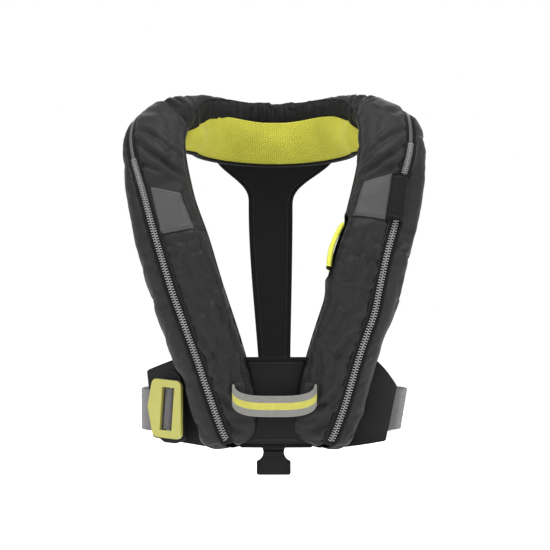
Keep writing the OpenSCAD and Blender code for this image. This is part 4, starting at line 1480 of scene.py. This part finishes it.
def hole_field(x, y):
    """From 0 to 1 in the middle of each hole of a hexagonal lattice, with x and y in millimetres."""
    k = 4 * math.pi / (math.sqrt(3) * PAD_HOLE_PITCH)
    waves = (
        np.cos(k * x)
        + np.cos(k * (0.5 * x + math.sqrt(3) / 2 * y))
        + np.cos(k * (0.5 * x - math.sqrt(3) / 2 * y))
    )
    return np.clip((waves / 3 - 0.28) / 0.72, 0, 1)


def paint(obj, name, values):
    """Stores one number for each point, which a material reads as a colour attribute."""
    layer = obj.data.color_attributes.new(name=name, type="FLOAT_COLOR", domain="POINT")
    shades = np.repeat(np.asarray(values, float)[:, None], 4, axis=1)
    shades[:, 3] = 1
    layer.data.foreach_set("color", shades.ravel())


def add_neck_pad():
    """Puffed mesh with dimpled holes on its face, rounded over the top and flat behind."""
    turns = np.linspace(-PAD_REACH, PAD_REACH, PAD_COLUMNS)
    levels = np.linspace(0, 1, PAD_ROWS)
    grid = np.zeros((PAD_ROWS + PAD_BACK_ROWS, PAD_COLUMNS, 3))
    holes = np.zeros((PAD_ROWS + PAD_BACK_ROWS, PAD_COLUMNS))
    for j, turn in enumerate(turns):
        ends = float(ease(0, 9, PAD_REACH - abs(turn)))
        wave = 0.9 * math.sin(turn / 7.3) * math.sin(turn / 19 + 1)
        for i, level in enumerate(levels):
            seat = math.sin(math.pi * level)
            puff = (1.4 + wave) * seat + 0.8 * math.sin(turn / 11 + 4 * level) * seat
            depth = (PAD_T - 2.2) * math.sqrt(ends) + puff * ends
            hole = hole_field(PAD_SPAN * turn / (2 * PAD_REACH), PAD_HEIGHT * level) * ease(0, 0.05, level)
            holes[i, j] = hole
            grid[i, j] = pad_point(turn, mix(0.03, 0.97, level), depth - PAD_HOLE_DEPTH * hole)
        for k in range(PAD_BACK_ROWS):
            bend = (k + 1) / PAD_BACK_ROWS
            if bend < 0.62:
                level = mix(0.97, 1.0, math.sin(math.pi * min(1, bend * 1.6)))
            else:
                level = mix(0.97, 0.06, (bend - 0.62) / 0.38)
            depth = (PAD_T - 2.2) * math.sqrt(ends) * math.cos(math.pi / 2 * min(1, bend * 1.6))
            grid[PAD_ROWS + k, j] = pad_point(turn, level, depth)
    obj = closed_grid("neck_pad_mesh", np.swapaxes(grid, 0, 1))
    # The hole mask sets the dents and the painted shade in them
    paint(obj, "hole", holes.T.ravel())
    finish_piece(obj, "mesh", ["neck_pad"])
    ring = []
    for turn in np.linspace(-PAD_REACH - 1, PAD_REACH + 1, 200):
        middle = pad_point(turn, 0.03, 3.2)
        up = unit(pad_point(turn, 0.14, 3.2) - middle)
        inward = unit(pad_point(turn, 0.03, 4) - middle)
        ring.append([
            middle + 2.5 * spow(math.sin(t), 0.8) * up + 3.1 * math.cos(t) * inward
            for t in np.linspace(0, 2 * math.pi, 16, endpoint=False)
        ])
    tape = closed_grid("neck_pad_tape", ring)
    finish_piece(tape, "binding", ["neck_binding"])
    turns = np.linspace(-PAD_REACH, PAD_REACH, 300)
    points = [pad_point(t, 0.005, 6.3) for t in turns]
    normals = [unit(pad_point(t, 0.0, 7) - pad_point(t, 0.0, 6)) for t in turns]
    add_stitches("neck_pad_stitches", stitch_row(points, normals, lift=0.0))


def add_pad_facing(side):
    """Cloth between the pad's low top edge and the collar above it, darker as painted shade."""
    rings = []
    for turn in side * np.linspace(46, PAD_REACH - 2, 60):
        foot = pad_point(turn, 0.9, 1.0)
        out = unit(pad_point(turn, 0.9, 0) - foot)
        rises = np.linspace(0, FACING_HEIGHT, 9)
        inner = [foot + np.array([0, 0, rise]) for rise in rises]
        outer = [p + FACING_T * out for p in inner[::-1]]
        rings.append(inner + outer)
    facing = closed_grid(f"neck_pad_facing_{side_name(side)}", rings)
    # The facing takes the darker copy of the cloth: painted shade under the collar
    finish_piece(facing, "shell_shaded")


add_neck_pad()
for pad_side in (1, -1):
    add_pad_facing(pad_side)


# ---- Chest panel and harness loop

PANEL_U = (-0.05, 1.70)


def panel_angle(u):
    """Angle on the lobe where the panel's front meets it."""
    return mix(143, 166, ease(0.2, 1.6, u))


def panel_edge(u, side, back):
    ring = Ring(cover_u(side, max(0, u)))
    return ring.at(panel_angle(u) + (18 if back else 0), 0.5) + np.array([0, 0, 50 * min(0, u)])


def panel_point(u, across, back=False):
    """Point across the panel, from the right lobe at 0 to the left lobe at 1."""
    crown = 4 * across * (1 - across) * 5 * float(ease(1.7, 1.2, u))
    return mix(panel_edge(u, -1, back), panel_edge(u, 1, back), across) - np.array([0, crown, 0])


def add_chest_panel():
    rings = []
    columns = 44
    for t in np.linspace(0, 1, 76):
        u = mix(*PANEL_U, t)
        close = math.sqrt(max(0.0, 1 - abs(2 * t - 1) ** 22)) * 0.96 + 0.04
        ring = []
        for k in range(2 * columns):
            back = k >= columns
            a = k / (columns - 1) if not back else (2 * columns - 1 - k) / (columns - 1)
            reach = 0.5 + (a - 0.5) * (1 + 0.16 * float(1 - ease(0.3, 0.7, u)))
            front_point, back_point = panel_point(u, reach), panel_point(u, reach, True)
            middle = (front_point + back_point) / 2
            shrink = close * math.sqrt(max(0.0, 1 - abs(2 * a - 1) ** 14))
            sag = 1.1 * math.sin(3.1 * t + 6 * a) * math.sin(math.pi * a) * math.sin(math.pi * t)
            point = middle + (front_point - middle) * shrink * (-1 if back else 1)
            ring.append(point - np.array([0, 0 if back else sag, 0]))
        rings.append(ring)
    obj = closed_grid("chest_panel_cloth", rings)
    finish_piece(obj, "strap", ["chest_panel"])
    hems = []
    for u, width in ((PANEL_U[1] - 0.02, 4.0), (PANEL_U[0] + 0.03, 5.0)):
        path = np.array([panel_point(u, a) - np.array([0, 0.5, 0]) for a in np.linspace(0.0, 1.0, 60)])
        hems.append(swept(path, [FORWARD] * 60, flat_profile(width, 1.6, 0.7)))
    joined_piece("chest_panel_hems", hems)
    rows = []
    for u in (PANEL_U[1] - 0.10, PANEL_U[0] + 0.14, PANEL_U[0] + 0.17):
        path = np.array([panel_point(u, a) - np.array([0, 1.0, 0]) for a in np.linspace(0.04, 0.96, 60)])
        rows += stitch_row(path, [FORWARD] * 60)
    add_stitches("chest_panel_stitches", rows)


LOOP_HALF = 49
LOOP_REACH = 18
LOOP_DROP = 0.78
LOOP_WIDTH = 25
LOOP_T = 3
LOOP_HINGE = np.array([0, -160.0, -272.0])
ANCHOR_X = 42


def loop_point(t):
    """Middle of the harness loop, from its left sewn end round the front to the right one."""
    c, s = math.cos(math.radians(t)), math.sin(math.radians(t))
    return LOOP_HINGE + np.array([
        LOOP_HALF * spow(c, 0.6),
        -2 - LOOP_REACH * spow(s, 0.75),
        -1 - LOOP_WIDTH / 2 - LOOP_DROP * LOOP_REACH * spow(s, 0.9),
    ])


def add_harness_loop():
    turns = np.linspace(2, 178, 150)
    centres = np.array([loop_point(t) for t in turns])
    flat = [unit((loop_point(t + 1) - loop_point(t - 1)) * np.array([1, 1, 0])) for t in turns]
    outs = [np.array([d[1], -d[0], 0]) for d in flat]
    wides = [UP] * len(turns)
    profile = band_profile(LOOP_WIDTH, LOOP_T, 1.8, 0.16, 0.45)
    obj = band("harness_loop_webbing", centres, wides, outs, profile, LOOP_WIDTH)
    finish_piece(obj, "loop", ["harness_loop"], "harness_loop")
    rows, pads = [], []
    for side in (1, -1):
        middle = LOOP_HINGE + np.array([side * ANCHOR_X, 0.1, -14])
        path = [middle + np.array([0, 0, z]) for z in np.linspace(-13, 13, 20)]
        pads.append(swept(path, [FORWARD] * 20, flat_profile(12, 1.1, 0.4)))
        box = [(-4.5, -10.5), (4.5, -10.5), (4.5, 10.5), (-4.5, 10.5), (-4.5, -10.5), (4.5, 10.5)]

        def sewn_point(x, z):
            return middle + np.array([x, -0.6, z]), FORWARD

        rows += stitched_runs(box, sewn_point, 20, lift=0.1, pitch=2.6, length=1.9)
    joined_piece("loop_anchor_webbing", pads, "black_web", replaces=["loop_anchors"])
    add_stitches("loop_anchor_stitches", rows)


add_chest_panel()
add_harness_loop()


# ---- Belt, side wings, back yoke and back strap

BELT_MID_Y = 112
BELT_ROUTE = np.array([
    [118, -108], [140, -97], [155, -76], [162.5, -35], [156, 20], [125, 74], [66, 104], [0, BELT_MID_Y],
])
BELT_WIDTH = 50
BELT_T = 2.4
BELT_Z = -308


def belt_row(i):
    n = len(BELT_ROUTE) - 1
    if i > n:
        return BELT_ROUTE[max(0, 2 * n - i)] * np.array([-1, 1])
    return BELT_ROUTE[max(0, i)]


def belt_flat(u):
    i = math.floor(u)
    return curve4(belt_row(i - 1), belt_row(i), belt_row(i + 1), belt_row(i + 2), u - i)


def belt_place(u):
    """Middle of the belt, direction across it and direction out of it."""
    d = unit(belt_flat(u + 0.02) - belt_flat(u - 0.02))
    out = np.array([d[1], -d[0], 0])
    lean = 8 * float(ease(0.6, 1.6, u) * (1 - ease(4, 6, u)))
    tuck = 6 * float(1 - ease(1.0, 2.0, u))
    centre = np.array([*belt_flat(u), BELT_Z]) - (tuck + lean / 2) * out
    return centre, unit(UP + lean / BELT_WIDTH * out), out


BUCKLE_PLACE = np.array([-127.0, -122, -305])
BUCKLE_AXES = np.array([[0.8634, -0.4985, -0.0785], [0.0680, -0.0392, 0.9969], [-0.5, -0.866, 0]])
BAR_DEPTH = -3.2
BAR_R = 3
BELT_SPLIT_U = 12.55
FOLD_R = BAR_R + 0.4 + BELT_T / 2


def buckle_point(x, z):
    """Point on the buckle's middle plane: x towards its free side, z out of its face."""
    return BUCKLE_PLACE + np.array([x, 0, z]) @ BUCKLE_AXES


def add_belt():
    profile = band_profile(BELT_WIDTH, BELT_T, 2.3, 0.22, 0.55)
    places = [belt_place(u) for u in np.linspace(0.35, BELT_SPLIT_U + 0.06, 190)]
    belt = band("belt_main", *zip(*places), profile, BELT_WIDTH)
    finish_piece(belt, "belt", ["belt_webbing"])
    # The last stretch, which bends where the buckle swings
    across_axis = BUCKLE_AXES[1]
    places = [belt_place(u) for u in (BELT_SPLIT_U, BELT_SPLIT_U + 0.1, BELT_SPLIT_U + 0.2)]
    stops = [p[0] for p in places]
    for x, z in ((-19, -8.9), (-12, -8.9), (-6, -8.6)):
        stops.append(buckle_point(x, z))
    fine = smooth_path(stops, 12)
    wides = [unit(mix(places[0][1], across_axis, ease(0.1, 0.7, t))) for t in np.linspace(0, 1, len(fine))]
    for turn in np.linspace(-100, 150, 40):
        c, s = math.cos(math.radians(turn)), math.sin(math.radians(turn))
        fine = np.concatenate([fine, [buckle_point(FOLD_R * c, BAR_DEPTH + FOLD_R * s)]])
        wides.append(across_axis)
    for x, z in ((-7.5, -4.4), (-14, -5.4), (-21, -6.0)):
        fine = np.concatenate([fine, [buckle_point(x, z)]])
        wides.append(across_axis)
    fine = resampled(fine, 1.0)
    wides = read_line(np.array(wides), np.linspace(0, 1, len(wides)), np.linspace(0, 1, len(fine)))
    wides = [unit(w) for w in wides]
    tangents = frames_along(fine)
    outs = [unit(np.cross(t, w)) for t, w in zip(tangents, wides)]
    end = band("belt_end_fold", fine, wides, outs, profile, BELT_WIDTH)
    finish_piece(end, "belt", ["belt_buckle_turn"], body=None)
    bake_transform(end)


WING_T = 2.4
WING_U = (0.16, 2.0)
WING_CORNERS = {
    1: np.array([[134, -105.5, -343], [147, -96.5, -279]]),
    -1: np.array([[147, -84, -340], [154, -74, -261]]),
}


def wing_point(side, u, across):
    """Point on a side wing, from the lobe at 0 to its free edge at 1."""
    ring = Ring(cover_u(side, u))
    root = ring.at(-26 if across > 0 else -20, 1.8 if across > 0 else 0.6)
    if across <= 0:
        root = root - 9 * float(1 - ease(0.3, 0.9, u)) * ring.across
    low, high = WING_CORNERS[side]
    tip = mix(low, high, float(ease(0.1, 2.0, u))) * np.array([side, 1, 1])
    bow = 4 * across * (1 - across) * (4 if side > 0 else 0.5)
    pull = 0.7 * math.sin(7 * u + 2 * across) * math.sin(math.pi * across)
    return mix(root, tip, max(0, across)) + (bow - 0.5 + pull) * np.array([0.6 * side, -0.8, 0])


def add_wing(side):
    label = side_name(side)
    us = np.linspace(*WING_U, 50)
    shares = [-0.1, *np.linspace(0.01, 1, 40)]
    grid = np.array([[wing_point(side, u, a) for a in shares] for u in us])
    obj = grid_object(f"side_wing_cloth_{label}", grid, flip=side > 0)
    thicken(obj, WING_T)
    # The wing takes the darker copy of the shell cloth: painted shade
    finish_piece(obj, "shell_shaded", [f"side_wing_{label}"])
    edge = np.concatenate([grid[0, 1:], grid[1:-1, -1], grid[-1, :0:-1]])
    edge = resampled(edge, 1.5)
    outs = [np.array([0.6 * side, -0.8, 0])] * len(edge)
    rolled = swept(edge + np.array([-0.7 * side, 0.9, 0]), outs, round_profile(1.9, 10))
    tape = joined_piece(f"side_wing_binding_{label}", [rolled])
    line = resampled(np.concatenate([grid[2, 1:-3], grid[2:-2, -3], grid[-3, -3:0:-1]]), 1.5)
    stitches = stitch_row(line, [unit(outs[0])] * len(line), lift=0.1)
    sewn = add_stitches(f"side_wing_stitches_{label}", stitches)


def strap_y(z):
    return 81 + 28 * float(ease(20, -200, z))


def yoke_half(z):
    return 26 + 48 * float(ease(-56, 8, z)) ** 1.6


def strap_half(z):
    return mix(26, 16.5, float(ease(-57, -334, z)))


def strap_centre(z):
    return -5 * float(ease(8, -57, z)) if z > -57 else mix(-5, 1, float(ease(-57, -334, z)))


def back_half(z):
    return yoke_half(z) if z > YOKE_LOW_Z else strap_half(z)


def back_pad(name, z0, z1, closed, node, rows):
    """Flat padded stretch of the back strap with rounded edges; closed says which ends close."""
    rings = []
    columns = 30
    for t in np.linspace(0, 1, rows):
        z = mix(z0, z1, t)
        near = min(t if closed[0] else 1, 1 - t if closed[1] else 1)
        close = 0.1 + 0.9 * math.sqrt(float(ease(-0.01, 0.03, near)))
        ring = []
        for k in range(2 * columns):
            turn = 2 * math.pi * (k + 0.5) / (2 * columns)
            x = spow(math.cos(turn), 0.35) * back_half(z)
            y = spow(math.sin(turn), 0.6) * STRAP_T / 2 * close
            quilt = 0.25 * math.sin(z / 9) * math.cos(x / 6)
            ring.append([strap_centre(z) + x, strap_y(z) + STRAP_T / 2 + y + quilt, z])
        rings.append(ring)
    obj = closed_grid(name, rings)
    finish_piece(obj, "strap", [node])
    return obj


def add_back_edges():
    """Rolled edge tapes and stitch rows down both sides of the yoke and the back strap."""
    tapes, rows = [], []
    oval = [(1.6 * x, 1.5 * y) for x, y in round_profile(1.7, 12)]
    for side in (1, -1):
        zs = np.linspace(YOKE_TOP_Z - 2, STRAP_LOW_Z, 260)
        edges = [strap_centre(z) + side * (back_half(z) - 0.6) for z in zs]
        path = np.array([[x, strap_y(z) + STRAP_T / 2, z] for x, z in zip(edges, zs)])
        tapes.append(swept(path, [FORWARD] * len(zs), oval))
        for face in (-1, 1):
            line = path + np.array([-side * 3.6, face * (STRAP_T / 2 + 0.05), 0])
            rows += stitch_row(line, [np.array([0, face, 0.0])] * len(zs), radius=0.26)
    joined_piece("back_strap_binding", tapes)
    add_stitches("back_strap_stitches", rows)


STRAP_T = 4.8
YOKE_TOP_Z = 12
YOKE_LOW_Z = -57
STRAP_LOW_Z = BELT_Z + BELT_WIDTH / 2 + 6


def add_back():
    back_pad("back_yoke_cloth", YOKE_TOP_Z, YOKE_LOW_Z, (True, False), "back_yoke", 60)
    back_pad("back_strap_cloth", YOKE_LOW_Z, STRAP_LOW_Z, (False, True), "back_strap", 150)
    add_back_edges()
    loop, outs = [], []
    half_y, half_z = 3.5, BELT_WIDTH / 2 + 2.6
    for turn in np.linspace(0, 2 * math.pi, 96):
        c, s = math.cos(turn), math.sin(turn)
        loop.append([1, BELT_MID_Y + half_y * spow(c, 0.35), BELT_Z + half_z * spow(s, 0.7)])
    loop = resampled(np.array(loop), 1.6)
    for k in range(len(loop)):
        before, after = loop[k - 1 if k else -2], loop[k + 1 if k < len(loop) - 1 else 1]
        d = unit(after - before)
        outs.append(np.array([0, d[2], -d[1]]))
    wides = [SIDEWAYS] * len(loop)
    sleeve = band("belt_sleeve", loop, wides, outs, band_profile(34, 1.9, 2.2, 0.12, 0.6), 34)
    finish_piece(sleeve, "black_web", ["back_strap"])

    def sewn_point(x, z):
        return [1 + x, strap_y(STRAP_LOW_Z + z) - 0.3, STRAP_LOW_Z + z], FORWARD

    box = [(-13, 6), (13, 6), (13, 26), (-13, 26), (-13, 6), (13, 26), (13, 6), (-13, 26)]
    add_stitches("back_strap_box_stitches", stitched_runs(box, sewn_point, 30, lift=0.1))


add_belt()
for lobe_side in (1, -1):
    add_wing(lobe_side)
add_back()


# ---- Crotch webbing, pull handle and bladders

CROTCH_BAR = np.array([-1, -122.0, -342])


def add_crotch_webbing():
    """Webbing folded round the bar of the crotch buckle."""
    path = [[0, 2.9, 27.5], [0, 2.9, 18], [0, 2.95, 8]]
    path += [[0, 2.95 * math.cos(t), -2.95 * math.sin(t)] for t in np.linspace(0, math.pi, 24)]
    path += [[0, -2.95, 8], [0, -2.9, 18], [0, -2.9, 27.5]]
    path = resampled(np.array(path) + CROTCH_BAR, 0.8)
    tangents = frames_along(path)
    outs = [unit(np.cross(t, SIDEWAYS)) for t in tangents]
    wides = [SIDEWAYS] * len(path)
    obj = band("crotch_webbing", path, wides, outs, band_profile(25, 1.7, 2.0, 0.15, 0.5), 25)
    finish_piece(obj, "black_web", ["crotch_web_stub"])
    rows = []
    for z in (9, 12):
        line = [CROTCH_BAR + np.array([x, -3.8, z]) for x in np.linspace(-11, 11, 20)]
        rows += stitch_row(line, [FORWARD] * 20, lift=0.1, pitch=2.8, length=2.0)
    add_stitches("crotch_stitches", rows)


HANDLE_U = (SLIT_FROM_U + 0.1, SLIT_TO_U - 0.08)


def handle_place(t, off=0.0):
    """Ring at a share of the handle's length, and the handle's middle there or a point off it."""
    ring = Ring(mix(*HANDLE_U, t))
    proud = 0.5 + 3 * math.sin(math.pi * t)
    return ring, ring.centre - (ring.a - 0.5 + proud + off) * ring.across


def add_pull_handle():
    rings = []
    for t in np.linspace(0, 1, 70):
        ring, middle = handle_place(t)
        ends = math.sqrt(max(0.0, 1 - abs(2 * t - 1) ** 12)) * 0.9 + 0.1
        pinch = 1 - 0.1 * math.sin(11 * t) ** 2
        rings.append([
            middle
            + 3.0 * spow(math.cos(k), 0.8) * ends * ring.across
            + 5.4 * spow(math.sin(k), 0.6) * ends * pinch * ring.n
            for k in np.linspace(0, 2 * math.pi, 28, endpoint=False)
        ])
    obj = closed_grid("pull_handle_cloth", rings)
    finish_piece(obj, "yellow_cloth", ["pull_handle"], "pull_handle")
    rings = np.array(rings)
    middle = rings.mean(axis=1)
    hem_rings = []
    for k in range(1, 7):
        grow = 1.12 if 1 < k < 6 else 1.02
        hem_rings.append(middle[k] + (rings[k] - middle[k]) * grow)
    tab = closed_grid("pull_handle_hem", hem_rings)
    finish_piece(tab, "binding", body="pull_handle")
    rows = []
    for offset in (-3.4, 3.4):
        line, normals = [], []
        for t in np.linspace(0.12, 0.94, 60):
            ring, point = handle_place(t, 2.75)
            line.append(point + offset * ring.n)
            normals.append(-ring.across)
        rows += stitch_row(line, normals, pitch=2.8, length=2.0, radius=0.24, lift=0.0)
    add_stitches("pull_handle_stitches", rows, "pull_handle", "yellow_thread")


BLADDER_OFF = -5.2
BLADDER_CUT = {1: 1.5, -1: -13.5}


def bladder_ring(u, cut):
    ring = Ring(u)
    points = []
    for k in range(48):
        angle = 7.5 * k + 1
        ripple = 0.9 * math.sin(7 * u + 0.11 * angle) + 0.6 * math.sin(0.35 * angle + 3.3 * u)
        p = ring.at(angle, BLADDER_OFF - 2.5 * float(ease(6.0, 7.0, ring.lobe_u)) + ripple)
        if cut is not None:
            edge = mix(-ring.a, cut, 1 - float(ease(5.0, 5.9, ring.lobe_u)))
            p = p + max(0, edge + 0.8 - (p - ring.centre) @ ring.across) * ring.across
        points.append(p)
    return points


def add_bladder(label, us, cut):
    obj = closed_grid(f"bladder_film_{label}", [bladder_ring(u, cut) for u in us])
    finish_piece(obj, "film", [f"bladder_{label}"])


def add_bladders():
    for side in (1, -1):
        us = [cover_u(side, u) for u in np.linspace(0.55, LOBE_END_U - 0.05, 110)]
        add_bladder(side_name(side), us, BLADDER_CUT[side])
    add_bladder("collar", np.linspace(LOBE_END_U + 0.06, RIGHT_END_U - 0.06, 70), None)


add_crotch_webbing()
add_pull_handle()
add_bladders()


# ---- Hard parts keep their frame meshes and take real finishes

HARD_PARTS = {
    "buckle_frame": "yellow_metal",
    "buckle_bar": "steel",
    "buckle_receiver": "navy",
    "crotch_buckle": "black_plastic",
    "inflator_body": "black_plastic",
    "lever_pin": "steel",
    "oral_tube": "rubber",
    "inflator_lever": "brass",
    "piercing_pin": "steel",
    "gas_cylinder": "steel",
    "cartridge_cap": "green",
    "dust_cap": "yellow_plastic",
    "whistle": "orange",
    "whistle_lanyard": "white",
    "trip_cord": "white",
    "zip_slider": "zip_metal",
    "zip_puller": "zip_metal",
    "side_adjuster": "black_plastic",
    "adjuster_bar": "steel",
}


# Radius of the rounded edges, in millimetres
BEVELS = {"buckle_frame": 1.0, "crotch_buckle": 0.6, "buckle_receiver": 0.5, "whistle": 0.4}


def soften_edges(node, radius):
    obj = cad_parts[node]
    add_modifier(obj, "WELD", merge_threshold=0.00002)
    bevel = add_modifier(obj, "BEVEL", width=radius * MM, segments=3, limit_method="ANGLE")
    bevel.angle_limit = math.radians(40)


def dress(node, material):
    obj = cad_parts[node]
    obj.data.materials.clear()
    obj.data.materials.append(MATERIALS[material])


for part, finish in HARD_PARTS.items():
    dress(part, finish)
for part, radius in BEVELS.items():
    soften_edges(part, radius)
